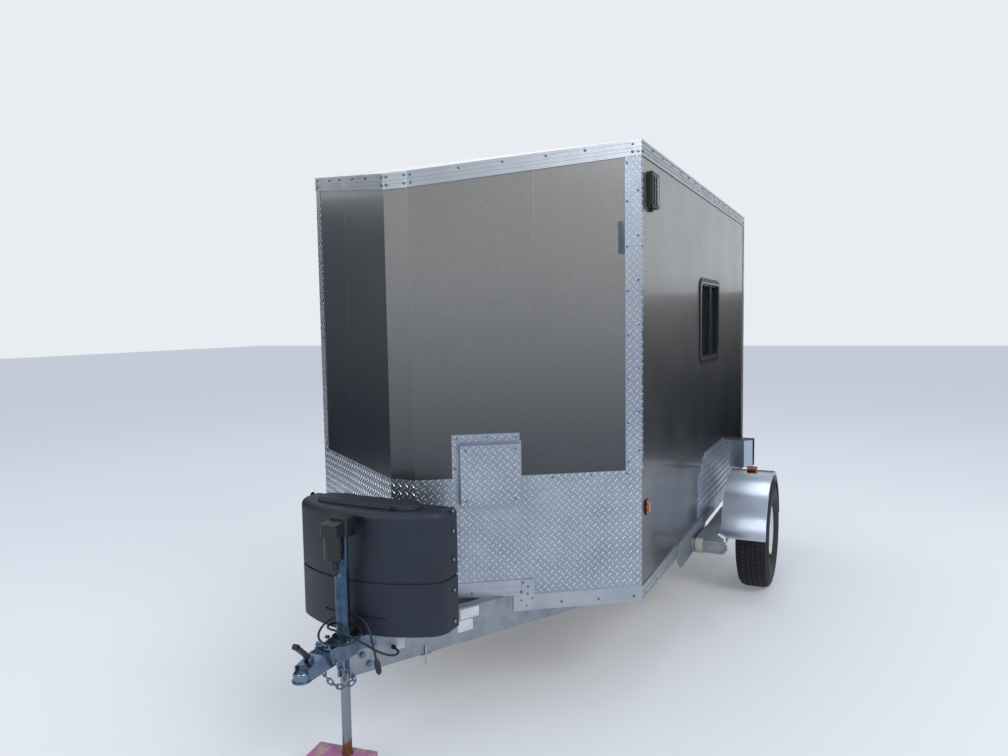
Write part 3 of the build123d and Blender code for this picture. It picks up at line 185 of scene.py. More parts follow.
def per_mm(size):
    """Texture scale that gives details of that many millimetres."""
    return 1000 / size


def link(owner, source, node, key):
    """Feeds a pattern, given as a node or as one of its outputs, into a node's input."""
    if isinstance(source, bpy.types.Node):
        source = next(output for output in source.outputs if output.enabled)
    owner.node_tree.links.new(source, node.inputs[key])


def add_node(owner, kind, inputs=None, **settings):
    """Adds a node, applies its settings, and gives each named input a value or a pattern."""
    node = owner.node_tree.nodes.new(kind)
    for name, value in settings.items():
        setattr(node, name, value)
    for key, value in (inputs or {}).items():
        if isinstance(value, (bpy.types.Node, bpy.types.NodeSocket)):
            link(owner, value, node, key)
        else:
            node.inputs[key].default_value = value
    return node


def shade(owner, shader, **patterns):
    """Feeds patterns into a shader's sockets."""
    for key, pattern in patterns.items():
        link(owner, pattern, shader, key.replace("_", " "))


def noise(owner, place, size, detail, roughness=0.5, distortion=0.0):
    """Clouds whose largest bumps are that many millimetres."""
    return add_node(owner, "ShaderNodeTexNoise", {
        "Vector": place, "Scale": per_mm(size), "Detail": detail, "Roughness": roughness,
        "Distortion": distortion})


def span(owner, value, low, high, to_low=0.0, to_high=1.0, **settings):
    """Stretches a pattern's values from low and high to two others, and cuts off what lies outside."""
    return add_node(owner, "ShaderNodeMapRange", {
        "Value": value, "From Min": low, "From Max": high, "To Min": to_low, "To Max": to_high}, **settings)


def mix(owner, factor, first, second, blend="MIX"):
    """Goes from one tone to another by a factor. A tone is a hex value or a pattern."""
    first, second = [paint(tone) if isinstance(tone, str) else tone for tone in (first, second)]
    return add_node(owner, "ShaderNodeMix", {"Factor": factor, "A": first, "B": second},
                    data_type="RGBA", blend_type=blend)


def bumps(owner, height, strength, distance, **inputs):
    """Relief from a pattern, that many metres high."""
    return add_node(owner, "ShaderNodeBump", {
        "Height": height, "Strength": strength, "Distance": distance, **inputs})


def new_material(name, **values):
    """A material with its shader's own sockets set, its shader, and the place on the object."""
    material = bpy.data.materials.new(name)
    material.use_nodes = True
    shader = material.node_tree.nodes["Principled BSDF"]
    for key, value in values.items():
        shader.inputs[key.replace("_", " ")].default_value = value
    place = add_node(material, "ShaderNodeTexCoord").outputs["Object"]
    return material, shader, place


# %% [markdown]
# ## Painted sheet
#
# The walls are aluminium sheet with a baked charcoal paint, fine metal flakes under a clear gloss. Its colour
# carries a painted reflection: near black low down, standing for the dark ground that it mirrors, and warm
# grey high up, standing for the sky. Large sheets are never flat: they swell a millimetre or two between
# their fixings, which bends the reflections. Three noises do this: flakes, slow swells, and a thin film of
# road dust that is heavier near the frame.

# %% Charcoal sheet
charcoal, shader, place = new_material(
    "charcoal_flake_paint", Metallic=0.6, Coat_Weight=0.3, Coat_Roughness=0.09)
flakes = noise(charcoal, place, 3, 2.0)
flake_tone = span(charcoal, flakes, 0.35, 0.65)
height = add_node(charcoal, "ShaderNodeSeparateXYZ", {"Vector": place}).outputs["Z"]
# Painted reflection: a smooth step by height goes from near black at the bottom, for the dark ground mirrored
# there, to warm grey at the top, for the sky.
fade = span(charcoal, height, sill_z + 0.25, sill_z + 1.65, interpolation_type="SMOOTHSTEP")
painted_sky_and_ground_reflection = mix(charcoal, fade, "#222a37", "#8b8a88")
sparkle = mix(charcoal, flake_tone, "#d9d9d9", "#ffffff")
flaked = mix(charcoal, 1.0, painted_sky_and_ground_reflection, sparkle, "MULTIPLY")
film = noise(charcoal, place, 420, 5.0, 0.6)
low = span(charcoal, height, sill_z + 0.06, sill_z + 0.86, 0.08, 0.02)
film_amount = add_node(charcoal, "ShaderNodeMath", {0: film, 1: low}, operation="MULTIPLY")
dusty = mix(charcoal, film_amount, flaked, "#8b857b")
gloss = span(charcoal, film, 0.3, 0.7, 0.26, 0.34)
swell = noise(charcoal, place, 620, 0.0)
swell_bump = bumps(charcoal, swell, 0.3, 0.006)
flake_bump = bumps(charcoal, flakes, 0.05, 0.0004, Normal=swell_bump)
shade(charcoal, shader, Base_Color=dusty, Roughness=gloss, Normal=flake_bump, Coat_Normal=swell_bump)

# %% [markdown]
# ## Aluminium, in eight finishes
#
# The hut shows the same metal in many states. The welded frame is mill finish: dull, with soft drawing
# lines and grey stains. The trims are extrusions, brighter, with lines along their length. Tread plate is
# greyer between its lugs, whose crests the rolls and passing hands have polished. The fenders and light
# housings are smooth sheet that has kept its gloss, the guard beside the wheel is ribbed, the roof is
# chalky, and the rims are cast and polished. Each starts from the metal's own light grey and differs in
# roughness and in the direction of its fine lines. Real lines are about 0.1 mm apart, too fine to show,
# so they are drawn 2 to 4 mm apart.


# %% Eight finishes of aluminium
line_depth = 0.0005


def stained_metal(name, bright, dull, smooth, rough, stain_mm, line_mm, line_strength, stretch=(1, 1, 1)):
    """Bare metal with cloudy stains, and fine lines that a stretched noise draws."""
    material, shader, place = new_material(name, Metallic=1.0)
    stains = noise(material, place, stain_mm, 6.0, 0.62)
    cloud = span(material, stains, 0.36, 0.66)
    tone = mix(material, cloud, bright, dull)
    haze = span(material, stains, 0.3, 0.7, smooth, rough)
    stretched = add_node(material, "ShaderNodeMapping", {"Vector": place, "Scale": stretch})
    lines = noise(material, stretched, line_mm, 3.0)
    drawn = bumps(material, lines, line_strength, line_depth)
    shade(material, shader, Base_Color=tone, Roughness=haze, Normal=drawn)
    return material


mill_frame = stained_metal(
    "mill_finish_aluminium", "#989da5", "#868c95", 0.36, 0.48, 90, 4, 0.2, (1, 0.12, 1))
extrusion = stained_metal(
    "extruded_aluminium", "#adb2b9", "#9fa5ad", 0.28, 0.36, 120, 2.5, 0.16, (1, 0.06, 1))
tread_plate = stained_metal("rolled_tread_plate", "#9ba4b0", "#8c95a2", 0.3, 0.4, 160, 3, 0.1)
lug_metal = stained_metal("polished_lug_aluminium", "#e4e7eb", "#cfd4da", 0.2, 0.3, 90, 2, 0.05)
smooth_sheet = stained_metal(
    "smooth_aluminium_sheet", "#b3bccb", "#a9b3c3", 0.2, 0.27, 200, 3, 0.05, (1, 0.2, 1))
polished_alloy = stained_metal("polished_cast_alloy", "#dcdee1", "#c4c7cb", 0.1, 0.2, 90, 2, 0.04)
ribbed_guard = stained_metal(
    "ribbed_guard_aluminium", "#aab4c2", "#98a3b3", 0.28, 0.38, 120, 3, 0.12, (1, 0.1, 1))
roof_sheet = stained_metal("roof_sheet_aluminium", "#c3c5c8", "#b0b3b5", 0.4, 0.55, 300, 4, 0.1)

# %% [markdown]
# ## Plated and painted steel
#
# The coupler and the chain are steel with a bright zinc plating, which is bluer than aluminium and goes
# milky in patches. On the jack's tube the same plating is painted darker, to slate, as a painted reflection
# of the dark things around it, and on small new screws it is still pale.
# Below the jack the post stands in the wet, so the plating gives way to rust over the last few
# centimetres. The rust is placed by height above the block that the post stands on.


# %% Zinc plating and rust
zinc = stained_metal("bright_zinc_plate", "#76899e", "#5d7086", 0.24, 0.4, 60, 3, 0.12)
# Painted reflection: the jack's tube is the same zinc in darker tones, standing for the dark surroundings
# that it mirrors.
zinc_darkened_by_painted_reflection = stained_metal("zinc_plate_darkened_by_painted_reflection", "#4c6076", "#3c4d61", 0.28, 0.42, 50, 3, 0.12)
bare_zinc = stained_metal("bare_zinc_screw", "#b4bcc4", "#98a1ab", 0.22, 0.34, 20, 2, 0.05)
rusty_zinc, shader, place = new_material("zinc_plate_rusting_at_the_foot")
patches = noise(rusty_zinc, place, 22, 6.0)
height = add_node(rusty_zinc, "ShaderNodeSeparateXYZ", {"Vector": place}).outputs["Z"]
block_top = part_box("jack_block")[1].z
wet = span(rusty_zinc, height, block_top + 0.012, block_top + 0.092, 0.62, -0.28)
rust_amount = add_node(rusty_zinc, "ShaderNodeMath", {0: patches, 1: wet}, operation="ADD")
edge = span(rusty_zinc, rust_amount, 0.5, 0.7)
rust_tone = mix(rusty_zinc, patches, "#3d2317", "#8a4c25")
tone = mix(rusty_zinc, edge, "#868e98", rust_tone)
bare = span(rusty_zinc, edge, 0.0, 1.0, 1.0, 0.0)
rough = span(rusty_zinc, edge, 0.0, 1.0, 0.28, 0.85)
pits = bumps(rusty_zinc, rust_amount, 0.4, 0.001)
shade(rusty_zinc, shader, Base_Color=tone, Metallic=bare, Roughness=rough, Normal=pits)

# %% [markdown]
# ## Plastics, rubber and paint
#
# These finishes share one recipe: two close tones in soft clouds, a roughness that follows them, and a
# grain. The tank cover is rotationally moulded polyethylene with a fine leather grain from its mould. The
# tyre has a grey bloom. The lead's sheath is smooth rubber. The jack's head and the lamp bodies are ABS.


# %% Dull finishes
def dull_finish(name, dark, light, smooth, rough, cloud_mm, grain_mm, grain_depth, metallic=0.0, coat=0.0):
    """A finish without metal's shine: two tones in clouds and a grain of that size and depth in mm."""
    material, shader, place = new_material(name, Metallic=metallic, Coat_Weight=coat, Coat_Roughness=0.1)
    clouds = noise(material, place, cloud_mm, 5.0, 0.6)
    amount = span(material, clouds, 0.35, 0.65)
    tone = mix(material, amount, dark, light)
    haze = span(material, clouds, 0.3, 0.7, smooth, rough)
    grain = add_node(material, "ShaderNodeTexVoronoi", {
        "Vector": place, "Scale": per_mm(grain_mm)}, feature="SMOOTH_F1")
    relief = bumps(material, grain, 0.6, grain_depth / 1000)
    shade(material, shader, Base_Color=tone, Roughness=haze, Normal=relief)
    return material


cover_plastic = dull_finish("grained_polyethylene", "#0b1526", "#131e31", 0.44, 0.58, 240, 3, 0.25)
black_abs = dull_finish("black_abs", "#0a0d12", "#12171e", 0.38, 0.5, 60, 1.5, 0.06)
tyre_rubber = dull_finish("tyre_rubber", "#0b0c0f", "#191b1f", 0.6, 0.78, 70, 2, 0.12)
lead_rubber = dull_finish("rubber_cable_sheath", "#131517", "#1e2124", 0.42, 0.55, 40, 2, 0.04)
black_powder = dull_finish("black_powder_coat", "#101113", "#191b1e", 0.34, 0.46, 80, 1.2, 0.06)
white_enamel = dull_finish("white_enamelled_steel", "#d8d8d2", "#c6c6bf", 0.28, 0.4, 120, 2, 0.03, coat=0.3)
bare_plate = dull_finish("blank_white_vinyl_plate", "#d9dcdf", "#c8ccd1", 0.35, 0.5, 50, 2, 0.02)
gasket = dull_finish("rubber_gasket", "#0b0c0d", "#141618", 0.5, 0.65, 40, 2, 0.05)

# %% [markdown]
# ## Wood
#
# Two pieces are wood. The floor is plywood, with a grain that runs along the hut. The block under the
# jack is a sawn offcut that still carries a thin, scuffed coat of pink paint, worn off in bands where the
# grain stands up.


# %% Plywood and painted softwood
def wood_finish(name, early, late, grain_mm, stretch):
    """Wood grain: a stretched noise that bends bands of early and late wood."""
    material, shader, place = new_material(name, Roughness=0.62)
    stretched = add_node(material, "ShaderNodeMapping", {"Vector": place, "Scale": stretch})
    bands = noise(material, stretched, grain_mm, 5.0, distortion=0.6)
    contrast = span(material, bands, 0.35, 0.65)
    tone = mix(material, contrast, early, late)
    relief = bumps(material, bands, 0.4, 0.0006)
    shade(material, shader, Base_Color=tone, Normal=relief)
    return material, shader, place, tone


plywood, shader, place, tone = wood_finish("birch_plywood", "#c4a577", "#9f7c4f", 12, (1, 0.08, 1))
painted_block, shader, place, tone = wood_finish(
    "softwood_with_worn_pink_paint", "#cbb9a0", "#a48d70", 8, (0.12, 1, 1))
streaked = add_node(painted_block, "ShaderNodeMapping", {
    "Vector": place, "Scale": (1.0, 0.28, 1.0), "Rotation": (0, 0, 0.5)})
worn = noise(painted_block, streaked, 26, 5.0, 0.65)
paint_left = span(painted_block, worn, 0.4, 0.52, 0.15, 0.95)
pinks = mix(painted_block, worn, "#cf8fb8", "#a8528f")
coat = mix(painted_block, paint_left, tone, pinks)
shade(painted_block, shader, Base_Color=coat)

# %% [markdown]
# ## Glass and lenses
#
# The window panes are grey-tinted safety glass, which lets some light through and mirrors the yard. The
# lenses are moulded acrylic with small prisms on their inner side that scatter the lamp's light. A wave
# texture in the bump stands for the prisms, 4 mm apart.

# %% Tinted glass and two lenses
tinted_glass, shader, place = new_material(
    "grey_tinted_glass", Base_Color=paint("#4b545d"), IOR=1.5, Transmission_Weight=0.82)
smear = noise(tinted_glass, place, 90, 5.0)
haze = span(tinted_glass, smear, 0.4, 0.7, 0.02, 0.1)
shade(tinted_glass, shader, Roughness=haze)


def lens_finish(name, deep, bright):
    """Coloured acrylic with prisms behind its face."""
    material, shader, place = new_material(
        name, Roughness=0.12, IOR=1.49, Transmission_Weight=0.25, Coat_Weight=0.3)
    prisms = add_node(material, "ShaderNodeTexWave", {
        "Vector": place, "Scale": 0.05 * per_mm(4), "Distortion": 0.0},
        bands_direction="Z", wave_profile="TRI")
    tone = mix(material, prisms.outputs["Fac"], deep, bright)
    relief = bumps(material, prisms.outputs["Fac"], 0.4, 0.0008)
    shade(material, shader, Base_Color=tone, Normal=relief)
    return material


amber_lens = lens_finish("amber_acrylic", "#b4430c", "#e8761c")
red_lens = lens_finish("red_acrylic", "#7d0f10", "#b81d1a")
smoked_lens = lens_finish("smoked_acrylic", "#1b2a31", "#33454c")

# %% Give every model part its finish
finish_of = {
    mill_frame: ["tongue_rail_road", "tongue_rail_curb", "side_sills", "end_sills", "v_sills", "crossmembers",
                 "pivot_mounts", "swing_arm_road", "swing_arm_curb", "tank_tray"],
    plywood: ["floor"],
    charcoal: ["nose_wall", "v_walls", "side_wall_road", "side_wall_curb", "rear_wall", "entry_door"],
    roof_sheet: ["roof", "nose_roof"],
    tread_plate: ["stone_guard", "corner_guards", "hatch_box"],
    extrusion: ["top_trim", "bottom_trim", "raised_trim", "trim_splices", "rear_corner_trims", "door_frame"],
    ribbed_guard: ["wheel_guards"],
    smooth_sheet: ["fender_road", "fender_curb", "tail_housings"],
    polished_alloy: ["rim_road", "rim_curb"],
    tyre_rubber: ["tyre_road", "tyre_curb"],
    black_powder: ["window_frames", "coupler_latch"],
    tinted_glass: ["window_panes"],
    black_abs: ["side_lamps", "jack_head", "jack_motor", "lead_gland", "lead_plug"],
    amber_lens: ["side_markers", "fender_light_road", "fender_light_curb"],
    red_lens: ["tail_lamps"],
    zinc: ["coupler"],
    zinc_darkened_by_painted_reflection: ["jack_tube"],
    rusty_zinc: ["jack_post"],
    painted_block: ["jack_block"],
    cover_plastic: ["tank_cover", "tank_lid"],
    white_enamel: ["gas_tanks"],
    lead_rubber: ["trailer_lead"],
}
for material, names in finish_of.items():
    for name in names:
        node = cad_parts[name]
        node.data.materials.clear()
        node.data.materials.append(material)
undressed = set(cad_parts) - {name for names in finish_of.values() for name in names}
print("model parts with no finish:", sorted(undressed) or "none")

# %% [markdown]
# ## Finishing a piece
#
# Every new piece ends the same way. It gets a name, its place goes into its mesh, so that patterns stay
# put on it, and it rides on the body that carries it. Repeated things, such as screws, are modelled once
# and copied, and the copies are joined to one piece for each body.


# %% Helpers for pieces
def deselect():
    """Leaves nothing selected and no mesh in edit mode."""
    if bpy.context.object and bpy.context.object.mode == "EDIT":
        bpy.ops.object.mode_set(mode="OBJECT")
    bpy.ops.object.select_all(action="DESELECT")


def only(piece):
    """Selects one piece and makes it the active one."""
    deselect()
    piece.select_set(True)
    bpy.context.view_layer.objects.active = piece


def settle(piece, name, material, body):
    """Names a finished piece, puts its place into its mesh, gives it its finish and lets it ride."""
    only(piece)
    bpy.ops.object.transform_apply(location=True, rotation=True, scale=True)
    piece.name = name
    piece.data.name = name
    piece.data.materials.clear()
    piece.data.materials.append(material)
    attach(piece, body)
    deselect()
    return piece


def twin_of(master):
    """A copy of a piece with its own mesh."""
    twin = master.copy()
    twin.data = master.data.copy()
    bpy.context.collection.objects.link(twin)
    return twin


def aimed(point, direction, turn, forward="Z", upward="Y"):
    """Matrix that takes a piece to a point, with one of its axes along a direction, turned about it."""
    aim = Vector(direction).to_track_quat(forward, upward).to_matrix().to_4x4()
    return Matrix.Translation(point) @ aim @ Matrix.Rotation(turn, 4, forward)


def copies(master, places, forward="Z", upward="Y"):
    """Copies a small piece to places of (point, direction, turn) and joins the copies."""
    made = []
    for point, direction, turn in places:
        made.append(twin_of(master))
        made[-1].matrix_world = aimed(point, direction, turn, forward, upward)
    deselect()
    for twin in made:
        twin.select_set(True)
    bpy.context.view_layer.objects.active = made[0]
    bpy.ops.object.transform_apply(location=True, rotation=True, scale=True)
    bpy.ops.object.join()
    return bpy.context.object


def finish_with(piece, kind, **settings):
    """Adds a modifier and applies it."""
    only(piece)
    modifier = piece.modifiers.new(kind.title(), kind)
    for name, value in settings.items():
        setattr(modifier, name, value)
    bpy.ops.object.modifier_apply(modifier=modifier.name)


def pick_faces(piece, test):
    """Goes into edit mode with the faces selected whose centre and normal pass a test."""
    only(piece)
    bpy.ops.object.mode_set(mode="EDIT")
    bpy.ops.mesh.select_mode(type="FACE")
    bpy.ops.mesh.select_all(action="DESELECT")
    bpy.ops.object.mode_set(mode="OBJECT")
    for face in piece.data.polygons:
        face.select = test(face.center, face.normal)
    bpy.ops.object.mode_set(mode="EDIT")


def join(pieces):
    """Joins pieces to one mesh."""
    deselect()
    for piece in pieces:
        piece.select_set(True)
    bpy.context.view_layer.objects.active = pieces[0]
    bpy.ops.object.join()
    return bpy.context.object


def discard(piece):
    """Deletes a master piece once its copies are made."""
    only(piece)
    bpy.ops.object.delete()


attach(lead, "hut")
lead.data.materials.append(lead_rubber)
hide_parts("trailer_lead")

# %% [markdown]
# ## Tread plate
#
# Tread plate, or chequer plate, is rolled with raised lugs that point two ways in turn. On this hut they
# sit on a square lattice of 34 mm: one lug leans right on each lattice point, one leans left half a pitch
# on. Each is 25 mm long, 6 mm wide and 1.7 mm high. A bump in the material would look the same from
# afar, but only real lugs break the outline at the corners and catch the light on their ends. One pair is
# modelled, an Array modifier repeats it both ways, and the sheet is cut off straight at its edges, as the
# guillotine does.

# %% One pair of lugs
lug_pitch = 0.034
lug_length, lug_width, lug_rise, lug_root = 0.025, 0.0060, 0.0017, 0.0004


def tread_lug(turn, place):
    """One lug: a flat ellipse with a narrower crest, turned to its diagonal."""
    deselect()
    bpy.ops.mesh.primitive_cylinder_add(vertices=10, radius=0.5, depth=1, location=(0, 0, 0))
    lug = bpy.context.object
    pick_faces(lug, lambda centre, normal: normal.z > 0.9)
    bpy.ops.transform.resize(value=(0.74, 0.42, 1))
    deselect()
    lug.scale = (lug_length, lug_width, lug_rise + lug_root)
    lug.rotation_euler = (0, 0, turn)
    lug.location = (*place, (lug_rise - lug_root) / 2)
    only(lug)
    bpy.ops.object.transform_apply(location=True, rotation=True, scale=True)
    return lug


lug_pair = join([tread_lug(radians(45), (0, 0)), tread_lug(radians(-45), (lug_pitch / 2, lug_pitch / 2))])
print("a pair of lugs has", len(lug_pair.data.polygons), "faces")


# %% Sheets of lugs
def lug_sheet(left, low, right, high):
    """Lugs over a rectangle that is given as distances along and up from the lattice's start."""
    sheet = twin_of(lug_pair)
    column, row = floor(left / lug_pitch) - 1, floor(low / lug_pitch) - 1
    columns, rows = ceil(right / lug_pitch) + 1 - column, ceil(high / lug_pitch) + 1 - row
    for count, step in ((columns, (lug_pitch, 0, 0)), (rows, (0, lug_pitch, 0))):
        finish_with(sheet, "ARRAY", count=count, use_relative_offset=False, use_constant_offset=True,
                    constant_offset_displace=step)
    sheet.location = (column * lug_pitch, row * lug_pitch, 0)
    bpy.ops.object.transform_apply(location=True)
    bpy.ops.object.mode_set(mode="EDIT")
    edges = [((left, 0, 0), (-1, 0, 0)), ((right, 0, 0), (1, 0, 0)),
             ((0, low, 0), (0, -1, 0)), ((0, high, 0), (0, 1, 0))]
    for point, outwards in edges:
        bpy.ops.mesh.select_all(action="SELECT")
        bpy.ops.mesh.bisect(plane_co=point, plane_no=outwards, use_fill=True, clear_outer=True)
    deselect()
    return sheet


def lay_on(sheet, origin, run):
    """Moves a flat sheet onto a wall: its X along the run, its Y up, its Z out of the wall."""
    up = Vector((0, 0, 1))
    out = Vector(run).cross(up)
    sheet.matrix_world = Matrix.Translation(origin) @ Matrix((run, up, out)).transposed().to_4x4()
    only(sheet)
    bpy.ops.object.transform_apply(location=True, rotation=True, scale=True)
    return sheet


# %% Guard, corner strips and hatch box
guard_out, guard_low, guard_top = 0.0016, 0.074, 0.620
box_out, box_left, box_right, box_low, box_high = 0.0446, 0.197, 0.467, 0.505, 0.772
box_gap, box_edge = 0.012, 0.004
backing_left, backing_top = 0.168, 0.812
strip_width, strip_side, strip_top, edge_gap = 0.076, 0.022, 2.045, 0.002
corner_along = corner_y - nose_y
across_nose, along_side = Vector((1, 0, 0)), Vector((0, 1, 0))
run_near, run_far = Vector((cos(v_angle), sin(v_angle), 0)), Vector((cos(v_angle), -sin(v_angle), 0))
near_start, far_start = on_v(0, 0, guard_out), on_v(v_length, 0, guard_out, side=-1)
nose_middle = Vector((0, nose_y - guard_out, sill_z))
sheets_of = {
    "guard": [
        ((edge_gap, guard_low, box_left - box_gap, guard_top), near_start, run_near),
        ((box_left - box_gap, guard_low, box_right + box_gap, box_low - box_gap), near_start, run_near),
        ((box_right + box_gap, guard_low, v_length - edge_gap, guard_top), near_start, run_near),
        ((edge_gap, guard_low, v_length - edge_gap, guard_top), far_start, run_far),
        ((-nose_half + edge_gap, guard_low, nose_half - edge_gap, guard_top), nose_middle, across_nose),
    ],
    "corners": [
        ((v_length - strip_width + edge_gap, guard_top, v_length - edge_gap, strip_top),
         near_start, run_near),
        ((edge_gap, guard_top, strip_width - edge_gap, strip_top), far_start, run_far),
        ((edge_gap, guard_top, strip_side, strip_top), on_side(corner_along, 0, guard_out), along_side),
        ((-strip_side, guard_top, -edge_gap, strip_top),
         on_side(corner_along, 0, guard_out, -1), -along_side),
    ],
    "hatch_box": [
        ((box_left + box_edge, box_low + box_edge, box_right - box_edge, box_high - box_edge),
         on_v(0, 0, box_out), run_near),
        ((backing_left, guard_top + 0.006, box_left - box_gap, backing_top), near_start, run_near),
        ((box_left - box_gap, box_high + box_gap, box_right, backing_top), near_start, run_near),
    ],
}
for place_name, sheets in sheets_of.items():
    lugs = join([lay_on(lug_sheet(*reach), origin, run) for reach, origin, run in sheets])
    settle(lugs, f"tread_lugs_of_{place_name}", lug_metal, "hut")
    print("lug faces of", place_name, len(lugs.data.polygons))
discard(lug_pair)

# %% [markdown]
# ## Screws and rivets
#
# The trims are held by pan-head screws about 200 mm apart, with a pair at each corner, and by blind rivets
# in the splice plates. A screw is a short cylinder with a rounded rim and a recess pressed into its head.
# A rivet is a low dome with a small dimple, where its pin broke off. The places were read off the real
# walls: a distance from the nose and a height above the frame's underside.


# %% A screw and a rivet
def fastener(radius, height, rounding, recess, depth, sides=16):
    """A head with a rounded rim and a recess, standing on the XY plane."""
    deselect()
    bpy.ops.mesh.primitive_cylinder_add(
        vertices=sides, radius=radius, depth=height, location=(0, 0, height / 2))
    head = bpy.context.object
    bpy.ops.object.transform_apply(location=True)
    pick_faces(head, lambda centre, normal: normal.z > 0.9)
    bpy.ops.mesh.bevel(offset=rounding, segments=2, affect="EDGES")
    pick_faces(head, lambda centre, normal: normal.z > 0.99 and centre.z > 0.99 * height)
    bpy.ops.mesh.inset(thickness=radius - rounding - recess)
    bpy.ops.mesh.extrude_region_move(TRANSFORM_OT_translate={"value": (0, 0, -depth)})
    bpy.ops.transform.resize(value=(0.7, 0.7, 1))
    deselect()
    only(head)
    bpy.ops.object.shade_smooth_by_angle(angle=radians(40))
    return head


screw = fastener(0.0062, 0.0030, 0.0013, 0.0022, 0.0012)
rivet = fastener(0.0060, 0.0022, 0.0014, 0.0012, 0.0006, sides=14)
bolt = fastener(0.0105, 0.0075, 0.0012, 0.0045, 0.0015, sides=6)
print("faces of a screw:", len(screw.data.polygons))

# %% Places of screws on the walls
trim_out, plate_out, raised_trim_out, splice_out, low_splice_out = 0.005, 0.0017, 0.0066, 0.0091, 0.0076
strip_start, rear_trim_along = 0.595, 3.634
upper_band, lower_band = -0.0185, -0.0515
sill_band, side_sill_band = 0.027, 0.024
roof_edge_side = 2.115
roof_rise = (eave_z - nose_top_z) / v_length


def roof_edge(along):
    """Height of the roof's edge on a slanting nose wall, above the frame's underside."""
    return nose_top_z - sill_z + roof_rise * along


def v_screw(along, up, out, side, turn):
    """Place, direction and turn of a screw on a slanting nose wall."""
    return on_v(along, up, out, side), out_of_v(side), turn


def side_screw(along, up, out, side, turn):
    """Place, direction and turn of a screw on a side wall."""
    return on_side(along, up, out, side), out_of_side(side), turn


# %% Screws of the trims
screw_places = []
for side in (1, -1):
    for along in (0.012, 0.221, 0.413, 0.607, 0.783, 1.003):
        screw_places.append(v_screw(along, roof_edge(along) + upper_band, trim_out, side, 0.3 * along))
    for along in (0.014, 1.001):
        screw_places.append(v_screw(along, roof_edge(along) + lower_band, trim_out, side, 0.7))
    for number in range(13):
        along = 0.788 + 0.195 * number
        screw_places.append(side_screw(along, roof_edge_side + upper_band, trim_out, side, 0.4 * number))
    for along in (0.62, 3.60):
        screw_places.append(side_screw(along, roof_edge_side + lower_band, trim_out, side, 0.9))
    for along in (0.655, 0.830, 1.000):
        screw_places.append(v_screw(along, sill_band, trim_out, side, along))
    for along in (0.65, 0.85, 1.05, 1.25):
        screw_places.append(side_screw(along, side_sill_band, trim_out, side, along))
    for number in range(7):
        screw_places.append(side_screw(2.13 + 0.24 * number, side_sill_band, trim_out, side, number))
    for along in (0.242, 0.05):
        screw_places.append(v_screw(along, 0.096, raised_trim_out, side, along))
    for number in range(8):
        screw_places.append(side_screw(rear_trim_along, 0.16 + 0.26 * number, trim_out, side, number))
for across in (-0.045, 0.045):
    for drop in (upper_band, lower_band):
        place_here = Vector((across, nose_y - trim_out, nose_top_z + drop))
        screw_places.append((place_here, (0, -1, 0), across * 9))
for number in range(10):
    for level in (eave_z + upper_band, sill_z + side_sill_band):
        place_here = Vector((-0.855 + 0.19 * number, rear_y + trim_out, level))
        screw_places.append((place_here, (0, 1, 0), number))
settle(copies(screw, screw_places), "trim_screws", zinc, "hut")

# %% Screws of the guard, the corner strips and the hatch box
guard_level = 0.606
guard_places = []
for side in (1, -1):
    for up in (0.66, 0.84, 1.04, 1.24, 1.44, 1.64, 1.84, 2.01):
        guard_places.append(v_screw(v_length - 0.012, up + 0.05, plate_out, side, up))
        guard_places.append(v_screw(v_length - 0.064, up, plate_out, side, 2 * up))
        guard_places.append(side_screw(strip_start + 0.012, up, plate_out, side, up))
    for along in (0.03, 0.62, 0.80, 0.97):
        guard_places.append(v_screw(along, guard_level, plate_out, side, along))
for along in (0.100, 0.53):
    guard_places.append(v_screw(along, guard_level, plate_out, -1, along))
for along, up in ((0.177, 0.665), (0.188, 0.799), (0.322, 0.802), (0.455, 0.798)):
    guard_places.append(v_screw(along, up, plate_out, 1, along))
settle(copies(screw, guard_places), "guard_screws", zinc, "hut")
box_places = [v_screw(along, up, box_out + 0.0002, 1, 0.5)
              for along in (0.222, 0.442) for up in (0.750, 0.527)]
settle(copies(rivet, box_places), "hatch_box_rivets", zinc, "hut")

# %% Rivets of the splice plates
splice_places = []
for side in (1, -1):
    for along, up in ((0.475, 0.131), (0.498, 0.110), (0.468, 0.085), (0.495, 0.077)):
        splice_places.append(v_screw(along, up, splice_out, side, along))
    for along, up in ((0.518, 0.055), (0.467, 0.048), (0.490, 0.023)):
        splice_places.append(v_screw(along, up, low_splice_out, side, along))
settle(copies(rivet, splice_places), "splice_rivets", zinc, "hut")
print("screws:", len(screw_places), "guard screws:", len(guard_places), "rivets:", len(splice_places))

# %% [markdown]
# ## Tyres
#
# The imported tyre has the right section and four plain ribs. A trailer tyre also has sipes across its
# ribs, a rim guard and a raised band on its sidewall, and shoulder blocks that run down onto the
# sidewall. The section is drawn as a ring of edges and spun round the axle, which gives one face for each
# pitch of the tread. The faces of the ribs are then pushed out, each inset first, so that every pitch
# becomes its own block with a slot beside it.

